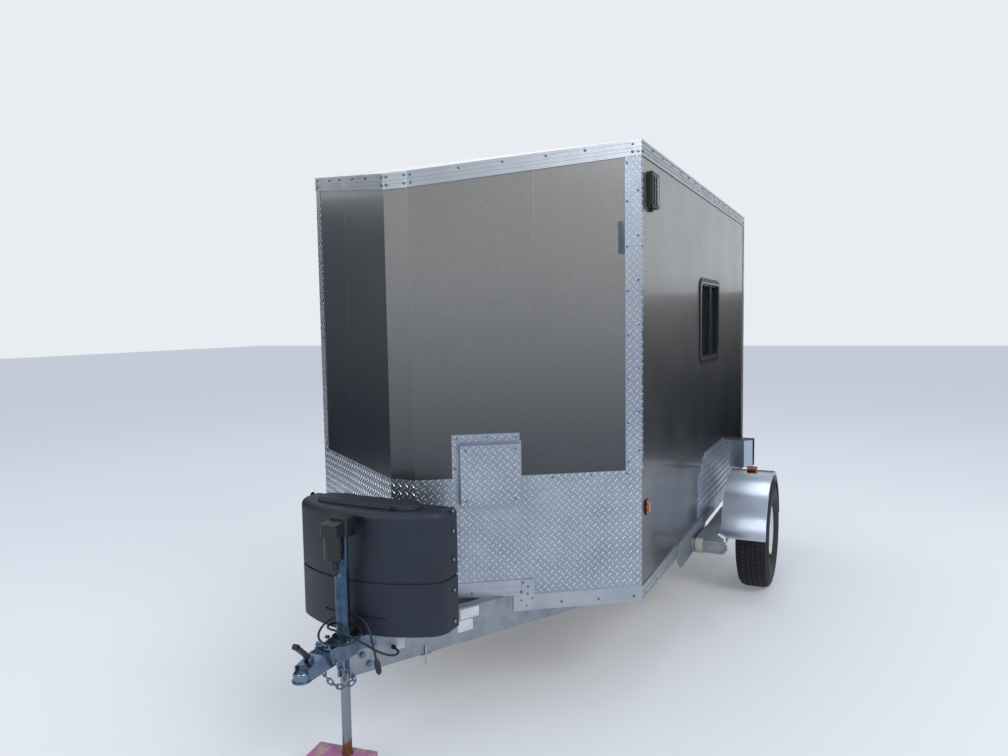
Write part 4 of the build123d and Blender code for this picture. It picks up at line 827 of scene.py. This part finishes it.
# %% Section of the tyre
tyre_low, tyre_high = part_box("tyre_road")
wheel_x = (tyre_low.x + tyre_high.x) / 2
wheel_y = (tyre_low.y + tyre_high.y) / 2
tyre_radius = (tyre_high.z - tyre_low.z) / 2
tyre_half = (tyre_high.x - tyre_low.x) / 2
bead_radius, bead_half, pitches = 0.1905, 0.0778, 72
side_depth = tyre_radius - bead_radius
tread_root = tyre_radius - 0.0085
half_section = [
    (bead_half - 0.016, bead_radius + 0.0005), (bead_half, bead_radius + 0.0005),
    *[(tyre_half - inwards, bead_radius + share * side_depth) for inwards, share in (
        (0.0125, 0.11), (0.0095, 0.15), (0.0125, 0.19), (0.0035, 0.32), (0.0004, 0.44), (0.0016, 0.56),
        (0.0002, 0.585), (0.0012, 0.66), (0.0045, 0.68), (0.0130, 0.83), (0.0245, 0.935))],
    (0.0600, tread_root), (0.0345, tread_root + 0.0006), (0.0255, tread_root + 0.0006),
    (0.0045, tread_root + 0.0010),
]
section = half_section + [(-across, out) for across, out in reversed(half_section)]
print("points in the section:", len(section))


# %% Spin the section
def spun_tyre():
    """A tyre round the X axis through the origin, with a band on each side and its ribs still plain."""
    deselect()
    bpy.ops.mesh.primitive_circle_add(vertices=len(section), radius=0.1, location=(0, 0, 0))
    tyre = bpy.context.object
    for vertex, (across, out) in zip(tyre.data.vertices, section):
        vertex.co = (across, 0, out)
    bpy.ops.object.mode_set(mode="EDIT")
    bpy.ops.mesh.select_all(action="SELECT")
    bpy.ops.mesh.spin(steps=pitches, angle=2 * pi, center=(0, 0, 0), axis=(1, 0, 0))
    bpy.ops.mesh.select_all(action="SELECT")
    bpy.ops.mesh.remove_doubles(threshold=0.00002)
    bpy.ops.mesh.normals_make_consistent(inside=False)
    deselect()
    return tyre


def radius_of(centre):
    """Distance of a point from the axle."""
    return hypot(centre.y, centre.z)


def on_tread(centre, normal):
    """True for the faces of the four ribs."""
    ribs = ((0.006, 0.0245), (0.0355, 0.059))
    return radius_of(centre) > tread_root - 0.0015 and any(low < abs(centre.x) < high for low, high in ribs)


def on_shoulder(centre, normal):
    """True for the faces of the shoulders, from the outer ribs down to the sidewall."""
    within = 0.0605 < abs(centre.x) < tyre_half - 0.0135
    return within and radius_of(centre) > tyre_radius - 0.022 and abs(normal.x) < 0.9


# %% Raise the blocks and fit both tyres
tyre = spun_tyre()
for test, slot_half, block_height in ((on_tread, 0.0009, 0.0078), (on_shoulder, 0.0016, 0.0046)):
    pick_faces(tyre, test)
    bpy.ops.mesh.inset(thickness=slot_half, use_individual=True)
    bpy.ops.mesh.extrude_region_shrink_fatten(TRANSFORM_OT_shrink_fatten={"value": block_height})
deselect()
widest = max(radius_of(vertex.co) for vertex in tyre.data.vertices)
print("tyre radius", round(widest, 4), "of", round(tyre_radius, 4), "faces", len(tyre.data.polygons))
only(tyre)
bpy.ops.object.shade_smooth_by_angle(angle=radians(32))
for side, name in ((1, "road"), (-1, "curb")):
    twin = twin_of(tyre)
    twin.location = (side * wheel_x, wheel_y, tyre_radius)
    settle(twin, f"treaded_tyre_{name}", tyre_rubber, f"wheel_{name}")
    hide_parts(f"tyre_{name}")
discard(tyre)

# %% [markdown]
# ## Safety chain
#
# A chain holds the trailer should the coupler let go. It is short-link chain of 6 mm wire, zinc plated,
# and between journeys it is wrapped round the coupler's neck with a slack loop below. One link is a torus
# that is pulled apart in the middle to a stadium shape. The links follow a closed NURBS curve, each a
# quarter turn round from the last, with their pitch set so that a whole number of them closes the loop.

# %% One link
wire, link_radius, link_stretch = 0.0064, 0.0082, 0.0065
deselect()
bpy.ops.mesh.primitive_torus_add(major_segments=20, minor_segments=8, major_radius=link_radius,
                                 minor_radius=wire / 2, location=(0, 0, 0))
chain_link = bpy.context.object
for direction in (1, -1):
    bpy.ops.object.mode_set(mode="EDIT")
    bpy.ops.mesh.select_mode(type="VERT")
    bpy.ops.mesh.select_all(action="DESELECT")
    bpy.ops.object.mode_set(mode="OBJECT")
    for vertex in chain_link.data.vertices:
        vertex.select = direction * vertex.co.x > 0.0001
    bpy.ops.object.mode_set(mode="EDIT")
    bpy.ops.transform.translate(value=(direction * link_stretch, 0, 0))
    bpy.ops.object.mode_set(mode="OBJECT")
bpy.ops.object.shade_smooth()
print("link:", [round(v * 1000, 1) for v in chain_link.dimensions], "mm")

# %% The loop that the chain follows
chain_route = [
    (-0.050, -0.540, 0.030), (-0.050, -0.546, 0.068), (-0.040, -0.553, 0.0885), (0.000, -0.566, 0.0885),
    (0.038, -0.578, 0.0875), (0.050, -0.578, 0.066), (0.053, -0.558, 0.022), (0.056, -0.510, -0.030),
    (0.060, -0.462, -0.068), (0.055, -0.470, -0.090), (0.018, -0.500, -0.104), (-0.026, -0.507, -0.086),
    (-0.048, -0.512, -0.058), (-0.052, -0.528, -0.012),
]
bpy.ops.curve.primitive_nurbs_path_add(location=(0, 0, 0))
loop = bpy.context.object
loop.data.splines.clear()
turns = loop.data.splines.new("NURBS")
turns.points.add(len(chain_route) - 1)
for point, (x, y, z) in zip(turns.points, chain_route):
    point.co = (x, nose_y + y, sill_z + z, 1)
turns.use_cyclic_u = True
turns.order_u = 3
loop.data.resolution_u = 24
loop_mesh = bpy.data.meshes.new_from_object(loop)
way = [vertex.co.copy() for vertex in loop_mesh.vertices]
way.append(way[0])
steps = [(b - a).length for a, b in zip(way, way[1:])]
link_count = 2 * round(sum(steps) / (2 * (2 * (link_radius + link_stretch) - wire)))
pitch = sum(steps) / link_count
chain_places, along, target = [], 0.0, pitch / 2
for start, end, step in zip(way, way[1:], steps):
    while target <= along + step and len(chain_places) < link_count:
        quarter = len(chain_places) % 2 * pi / 2
        chain_places.append((start.lerp(end, (target - along) / step), end - start, quarter + 0.5))
        target += pitch
    along += step
discard(loop)
bpy.data.meshes.remove(loop_mesh)
links = copies(chain_link, chain_places, forward="X", upward="Z")
settle(links, "safety_chain", zinc, "hut")
discard(chain_link)
print("links:", link_count, "pitch", round(pitch * 1000, 1), "mm")

# %% [markdown]
# ## Plates, rings and lenses
#
# Many fittings are a plate with round corners or a frame of one width: the window's gasket and sashes,
# lamp bases, blank plates. Both start as a plane on XY whose corners are rounded. A plate is raised at
# once, and a ring is first inset and emptied. A Bevel modifier that works by angle then softens what is
# still sharp.


# %% Helpers for plates and rings
def rounded_plane(width, height, corner, segments):
    """A plane with round corners, left in edit mode with all of it selected."""
    deselect()
    bpy.ops.mesh.primitive_plane_add(size=1, location=(0, 0, 0))
    piece = bpy.context.object
    piece.scale = (width, height, 1)
    bpy.ops.object.transform_apply(scale=True)
    bpy.ops.object.mode_set(mode="EDIT")
    bpy.ops.mesh.select_all(action="SELECT")
    bpy.ops.mesh.bevel(offset=corner, segments=segments, affect="VERTICES")
    bpy.ops.mesh.select_all(action="SELECT")
    return piece


def raised(piece, depth, edge):
    """Gives a flat piece its depth and softens its edges."""
    bpy.ops.mesh.select_all(action="SELECT")
    bpy.ops.mesh.extrude_region_move(TRANSFORM_OT_translate={"value": (0, 0, depth)})
    bpy.ops.mesh.select_all(action="SELECT")
    bpy.ops.mesh.normals_make_consistent(inside=False)
    deselect()
    finish_with(piece, "BEVEL", width=edge, segments=2, limit_method="ANGLE", angle_limit=radians(40))
    only(piece)
    bpy.ops.object.shade_smooth_by_angle(angle=radians(35))
    return piece


def plate(width, height, depth, corner, edge=0.0006):
    """A plate with round corners, its back on the XY plane."""
    return raised(rounded_plane(width, height, corner, 5), depth, edge)


def ring(width, height, band, depth, corner, edge=0.0006):
    """A frame of one band width with round corners, its back on the XY plane."""
    piece = rounded_plane(width, height, corner, 6)
    bpy.ops.mesh.inset(thickness=band)
    bpy.ops.mesh.delete(type="FACE")
    return raised(piece, depth, edge)


def fit(piece, point, direction, turn=0.0):
    """Puts a piece's back at a point, facing a direction, with its Y upwards."""
    piece.matrix_world = aimed(point, direction, turn)
    only(piece)
    bpy.ops.object.transform_apply(location=True, rotation=True, scale=True)
    return piece


# %% [markdown]
# ## Windows
#
# Each side window is a slider with two panes in a black frame. Around the frame runs a rubber gasket that
# keeps the water out, and inside it a thin bare aluminium bead. The front pane slides in its own sash,
# which stands a little proud of the fixed one, and a small latch on its upright holds it shut.

# %% Gaskets, beads, sashes and latches
frame_low, frame_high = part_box("window_frames")
window_middle = (frame_low.y + frame_high.y) / 2 - nose_y
window_level = (frame_low.z + frame_high.z) / 2 - sill_z
window_long, window_tall = frame_high.y - frame_low.y, frame_high.z - frame_low.z
frame_out = frame_high.x - half_width
front_pane = window_middle - window_long / 4 + 0.008
rear_pane = window_middle + window_long / 4 - 0.012
gaskets, beads, sashes, latches = [], [], [], []
for side in (1, -1):
    for made, piece, along, up, out in (
        (gaskets, ring(window_long + 0.009, window_tall + 0.009, 0.0085, 0.004, 0.072),
         window_middle, window_level, 0.0002),
        (beads, ring(window_long - 0.046, window_tall - 0.046, 0.009, 0.004, 0.044),
         window_middle, window_level, frame_out - 0.0035),
        (sashes, ring(window_long / 2 - 0.020, window_tall - 0.062, 0.015, 0.009, 0.030, 0.0012),
         front_pane, window_level, -0.006),
        (sashes, ring(window_long / 2 - 0.044, window_tall - 0.066, 0.010, 0.007, 0.030, 0.0010),
         rear_pane, window_level, -0.009),
        (latches, plate(0.014, 0.055, 0.010, 0.004, 0.0015),
         window_middle + 0.002, window_level - 0.02, frame_out - 0.004),
    ):
        made.append(fit(piece, on_side(along, up, out, side), out_of_side(side)))
settle(join(gaskets), "window_gaskets", gasket, "hut")
settle(join(beads), "window_beads", extrusion, "hut")
settle(join(sashes), "window_sashes", black_powder, "hut")
settle(join(latches), "window_latches", black_abs, "hut")

# %% [markdown]
# ## Lamps
#
# The oblong lamp high on the wall has a dark lens in a black housing, held by three screws. The marker
# and the fender lamp are amber lenses that snap onto black bases. A black ring holds each tail lamp.

# %% Lenses, bases and rings
lamp_along, lamp_level, lamp_face = 0.750, 1.905, 0.0336
marker_low, marker_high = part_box("side_markers")
marker_level = (marker_low.z + marker_high.z) / 2 - sill_z
marker_along = (marker_low.y + marker_high.y) / 2 - nose_y
lamp_lenses, lamp_screws, bases = [], [], []
for side in (1, -1):
    facing = out_of_side(side)
    lamp_lenses.append(fit(plate(0.074, 0.134, 0.0040, 0.012, 0.0015),
                           on_side(lamp_along, lamp_level, 0.0298, side), facing))
    lamp_lenses.append(fit(plate(0.022, 0.134, 0.0060, 0.008, 0.0012),
                           on_side(lamp_along, lamp_level, 0.0320, side), facing))
    for up in (lamp_level - 0.053, lamp_level, lamp_level + 0.053):
        lamp_screws.append(side_screw(lamp_along - 0.028, up, lamp_face, side, up * 9))
    bases.append(fit(plate(0.042, 0.073, 0.0055, 0.008),
                     on_side(marker_along, marker_level, 0.0, side), facing))
settle(join(lamp_lenses), "side_lamp_lenses", smoked_lens, "hut")
settle(copies(screw, lamp_screws), "side_lamp_screws", zinc, "hut")
settle(join(bases), "side_marker_bases", black_abs, "hut")
for name in ("road", "curb"):
    light_low, light_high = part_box(f"fender_light_{name}")
    middle = (light_low + light_high) / 2
    length, across = light_high.y - light_low.y, light_high.x - light_low.x
    turn = pi / 2 if length > across else 0
    base = fit(plate(length + 0.012, across + 0.010, 0.0075, 0.006),
               Vector((middle.x, middle.y, light_low.z + 0.0005)), (0, 0, 1), turn)
    settle(base, f"fender_light_base_{name}", black_abs, f"arm_{name}")
tail_low, tail_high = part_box("tail_lamps")
tail_rings = []
for side in (1, -1):
    tail_place = Vector((side * (tail_high.x - 0.027), tail_high.y - 0.0085, (tail_low.z + tail_high.z) / 2))
    tail_rings.append(fit(ring(0.066, 0.162, 0.0075, 0.005, 0.031), tail_place, (0, 1, 0)))
settle(join(tail_rings), "tail_lamp_rings", black_abs, "hut")

# %% [markdown]
# ## Walls
#
# The near nose wall shows a rectangle where a plate once kept the sun off the paint. It is a sheet as
# thin as a coat of paint. On both nose walls a fine seam shows where two sheets meet.

# %% Unfaded rectangle and seam
unfaded = dull_finish("unfaded_charcoal_paint", "#4d565e", "#555e66", 0.34, 0.42, 60, 2, 0.02,
                      metallic=0.35, coat=0.2)
settle(fit(plate(0.046, 0.147, 0.0003, 0.002, 0.0001), on_v(0.956, 1.678, 0.0), out_of_v()),
       "unfaded_rectangle", unfaded, "hut")
seams = [fit(plate(0.0022, 1.36, 0.0006, 0.0008, 0.0002), on_v(0.547, 1.30, 0.0, side), out_of_v(side))
         for side in (1, -1)]
settle(join(seams), "sheet_seams", charcoal, "hut")

# %% [markdown]
# ## Tank cover
#
# The cover is held to its tray by screws down each back edge, with dark washers under them. The lid has
# a catch on its front edge, whose hook reaches down over the cover.

# %% Cover screws and lid catch
cover_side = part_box("tank_cover")[1].x
cover_places, washer_places = [], []
for side in (1, -1):
    for up in (0.557, 0.474, 0.358, 0.231, 0.101):
        place_here = Vector((side * (cover_side - 0.0003), nose_y - 0.183, sill_z + up))
        washer_places.append((place_here, (side, 0, 0), 0.0))
        cover_places.append((place_here + Vector((side * 0.002, 0, 0)), (side, 0, 0), up * 5))
washer = fastener(0.0165, 0.0022, 0.0009, 0.0105, 0.0010, sides=20)
settle(copies(washer, washer_places), "cover_washers", black_abs, "hut")
settle(copies(screw, cover_places), "cover_screws", bare_zinc, "hut")
catch_x, catch_ahead, catch_facing = 0.160, 0.3145, (0.1, -1, 0)
lid_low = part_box("tank_lid")[0].z
catch_body = fit(plate(0.020, 0.022, 0.0060, 0.004, 0.0015),
                 Vector((catch_x, nose_y - catch_ahead, lid_low + 0.010)), catch_facing)
catch_hook = fit(plate(0.012, 0.034, 0.0040, 0.003, 0.0012),
                 Vector((catch_x, nose_y - catch_ahead - 0.002, lid_low + 0.006)), catch_facing)
settle(join([catch_body, catch_hook]), "lid_catch", black_abs, "lid")

# %% [markdown]
# ## Tongue
#
# The jack's flange is bolted to the coupler's plate, and the coupler to the rails through a side plate
# on each. Three blank plates are stuck to the near rail, and a strap is bolted round it from below.

# %% Bolts, side plates and blank plates
rail_out = Vector((cos(rail_angle), -sin(rail_angle), 0))
flange_top = floor_z + 0.0085
jack_places = [(Vector((x, nose_y - ahead, flange_top)), (0, 0, 1), x * 40) for x, ahead in (
    (-0.052, 0.484), (0.052, 0.484), (0.0, 0.386))]
settle(copies(bolt, jack_places), "jack_bolts", zinc, "hut")


def on_rail(y, up, out=0.0, side=1):
    """Point on a tongue rail's outer side: y from the nose, up from the frame's underside, out from it."""
    x = (y + rails_meet) * tan(rail_angle) + out / cos(rail_angle)
    return Vector((side * x, nose_y + y, sill_z + up))


side_plates, coupler_washers, coupler_bolts = [], [], []
for side in (1, -1):
    outwards = (side * rail_out.x, rail_out.y, 0)
    side_plates.append(fit(plate(0.150, 0.100, 0.0090, 0.008, 0.0012),
                           on_rail(-0.407, -0.030, 0.0002, side), outwards))
    for y, up in ((-0.404, -0.002), (-0.378, -0.046)):
        coupler_washers.append((on_rail(y, up, 0.0088, side), outwards, 0.0))
        coupler_bolts.append((on_rail(y, up, 0.0106, side), outwards, y * 30))
settle(join(side_plates), "coupler_side_plates", mill_frame, "hut")
settle(copies(washer, coupler_washers), "coupler_washers", zinc, "hut")
settle(copies(bolt, coupler_bolts), "coupler_bolts", zinc, "hut")
discard(washer)
blanks = []
for width, height, y, up in (
        (0.096, 0.044, 0.049, 0.043), (0.078, 0.050, 0.028, -0.008), (0.040, 0.052, -0.246, -0.002)):
    blanks.append(fit(plate(width, height, 0.0005, 0.003, 0.0002), on_rail(y, up, 0.0002), rail_out))
settle(join(blanks), "blank_rail_plates", bare_plate, "hut")
strap = [fit(plate(0.054, 0.0075, 0.0075, 0.002, 0.0012), on_rail(-0.145, -0.084, 0.0002), rail_out),
         fit(plate(0.0075, 0.080, 0.0075, 0.002, 0.0012), on_rail(-0.148, -0.084, 0.0010), rail_out)]
settle(join(strap), "rail_strap_bolt", bare_zinc, "hut")

# %% [markdown]
# ## Swing arms and wheels
#
# The arm turns on a steel pin with a nut on its outer end. A pale plastic collar keeps dirt out of the
# bearing. The rim is held by five cone nuts, and a short valve stands between two of its spokes.

# %% Pin nuts and collars
pin_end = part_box("pivot_mounts")[1].x
arm_inner_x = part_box("swing_arm_road")[0].x
pivot_y, pivot_z = nose_y + 1.670, sill_z - 0.030
pin_nut = fastener(0.0205, 0.0150, 0.0020, 0.0100, 0.0030, sides=6)
nut_places = [(Vector((side * (pin_end - 0.004), pivot_y, pivot_z)), (side, 0, 0), 0.2) for side in (1, -1)]
settle(copies(pin_nut, nut_places), "pivot_nuts", zinc, "hut")
discard(pin_nut)
pale_abs = dull_finish("pale_abs", "#b5b0a2", "#a39e91", 0.4, 0.55, 30, 1.5, 0.05)
collar = fastener(0.0425, 0.0420, 0.0040, 0.0300, 0.0010, sides=32)
for side, name in ((1, "road"), (-1, "curb")):
    place_here = Vector((side * (arm_inner_x + 0.001), pivot_y, pivot_z))
    settle(copies(collar, [(place_here, (side, 0, 0), 0.0)]), f"bearing_collar_{name}", pale_abs,
           f"arm_{name}")
discard(collar)

# %% Wheel nuts and valves
disc_out = wheel_x + 0.040
nut_circle, valve_circle = 0.0445, 0.148
cone_nut = fastener(0.0115, 0.0200, 0.0030, 0.0060, 0.0020, sides=6)
valve = fastener(0.0042, 0.0340, 0.0012, 0.0018, 0.0004, sides=12)


def on_disc(side, out, radius, turn):
    """Point on a wheel's disc: out along the axle, and round it from the rear."""
    return Vector((side * out, wheel_y + radius * cos(turn), tyre_radius + radius * sin(turn)))


for side, name in ((1, "road"), (-1, "curb")):
    turns = [radians(90 + 72 * number) for number in range(5)]
    nuts = [(on_disc(side, disc_out - 0.0005, nut_circle, turn), (side, 0, 0), turn) for turn in turns]
    settle(copies(cone_nut, nuts), f"wheel_nuts_{name}", polished_alloy, f"wheel_{name}")
    stem = [(on_disc(side, disc_out, valve_circle, radians(54)), (side, 0, 0), 0.0)]
    settle(copies(valve, stem), f"valve_{name}", black_abs, f"wheel_{name}")
discard(cone_nut)
discard(valve)

# %% Put the masters away
for master in (screw, rivet, bolt):
    discard(master)

# %% [markdown]
# ## Studio
#
# The floor is plain and pale, and so is the world. A world that is white to the camera would light the
# object too much, so Light Path splits it: the camera, mirrors and glass see a pale tone, and what lights
# the object is dimmer. The lamps are large soft panels, high on the road side, low in front and over the
# roof. Sheet metal shows what it mirrors more than how it is lit, so the panels are as large as windows.


# %% Floor and world
def shown_rays(owner):
    """1 for rays that the camera sees, also through glass or in a mirror, and 0 for those that light."""
    ray = add_node(owner, "ShaderNodeLightPath").outputs
    mirrored = add_node(owner, "ShaderNodeMath", {
        0: ray["Is Camera Ray"], 1: ray["Is Glossy Ray"]}, operation="MAXIMUM")
    return add_node(owner, "ShaderNodeMath", {
        0: mirrored, 1: ray["Is Transmission Ray"]}, operation="MAXIMUM")


bpy.ops.mesh.primitive_plane_add(size=90, location=(0, 0, -0.001))
ground = bpy.context.object
ground.name = "studio_floor"
studio, shader, place = new_material("studio_floor", Base_Color=paint("#dcdddf"), Roughness=0.9)
ground.data.materials.append(studio)
lift = add_node(studio, "ShaderNodeMath", {0: shown_rays(studio), 1: 0.22}, operation="MULTIPLY")
shader.inputs["Emission Color"].default_value = paint("#e4e8ee")
shade(studio, shader, Emission_Strength=lift)

world = bpy.data.worlds.new("studio")
bpy.context.scene.world = world
world.use_nodes = True
tones = mix(world, shown_rays(world), "#b4bfcd", "#e9edf2")
background = world.node_tree.nodes["Background"]
background.inputs["Strength"].default_value = 1.0
shade(world, background, Color=tones)


# %% Lamps
def soft_panel(name, place, target, size, power):
    """A large square lamp that faces a point."""
    bpy.ops.object.light_add(type="AREA", location=place)
    lamp = bpy.context.object
    lamp.name = name
    lamp.rotation_euler = (Vector(target) - Vector(place)).to_track_quat("-Z", "Y").to_euler()
    lamp.data.shape = "SQUARE"
    lamp.data.size = size
    lamp.data.energy = power


soft_panel("road_side_panel", (7.5, -4.0, 6.5), (0, 0, 1.2), 4.0, 300)
soft_panel("front_panel", (-1.5, -8.5, 5.0), (0, 0, 1.0), 4.0, 120)
soft_panel("roof_panel", (-1.0, 2.0, 7.5), (0, 0.5, 1.0), 5.0, 170)

# %% [markdown]
# ## Flags
#
# Glossy sheet looks like what it mirrors. In a bare white studio the dark walls would turn pale, so two
# dark flags stand where the walls look: one to the left of the nose, one behind on the road side. A
# photographer does the same with black cards. They don't show in the picture themselves.


# %% Two flags
def flag(name, place, size, turn, low_tone, high_tone):
    """A dark card that only reflections see, paler towards its top."""
    bpy.ops.mesh.primitive_plane_add(size=1, location=place, rotation=(pi / 2, 0, turn))
    card = bpy.context.object
    card.name = name
    card.scale = (*size, 1)
    finish, shader, place = new_material(name, Roughness=1.0)
    height = add_node(finish, "ShaderNodeSeparateXYZ", {"Vector": place}).outputs["Y"]
    tone = span(finish, height, 0.0, 0.5)
    fade = mix(finish, tone, low_tone, high_tone)
    shade(finish, shader, Base_Color=fade)
    shader.inputs["Specular IOR Level"].default_value = 0.0
    card.data.materials.append(finish)
    card.visible_camera = card.visible_shadow = card.visible_diffuse = False


flag("left_flag", (-5.2, 0.4, 1.6), (7.0, 3.2), pi / 2, "#0a1830", "#10243f")
flag("rear_flag", (2.6, 5.2, 1.05), (4.4, 2.1), 0.0, "#14181d", "#6f6962")
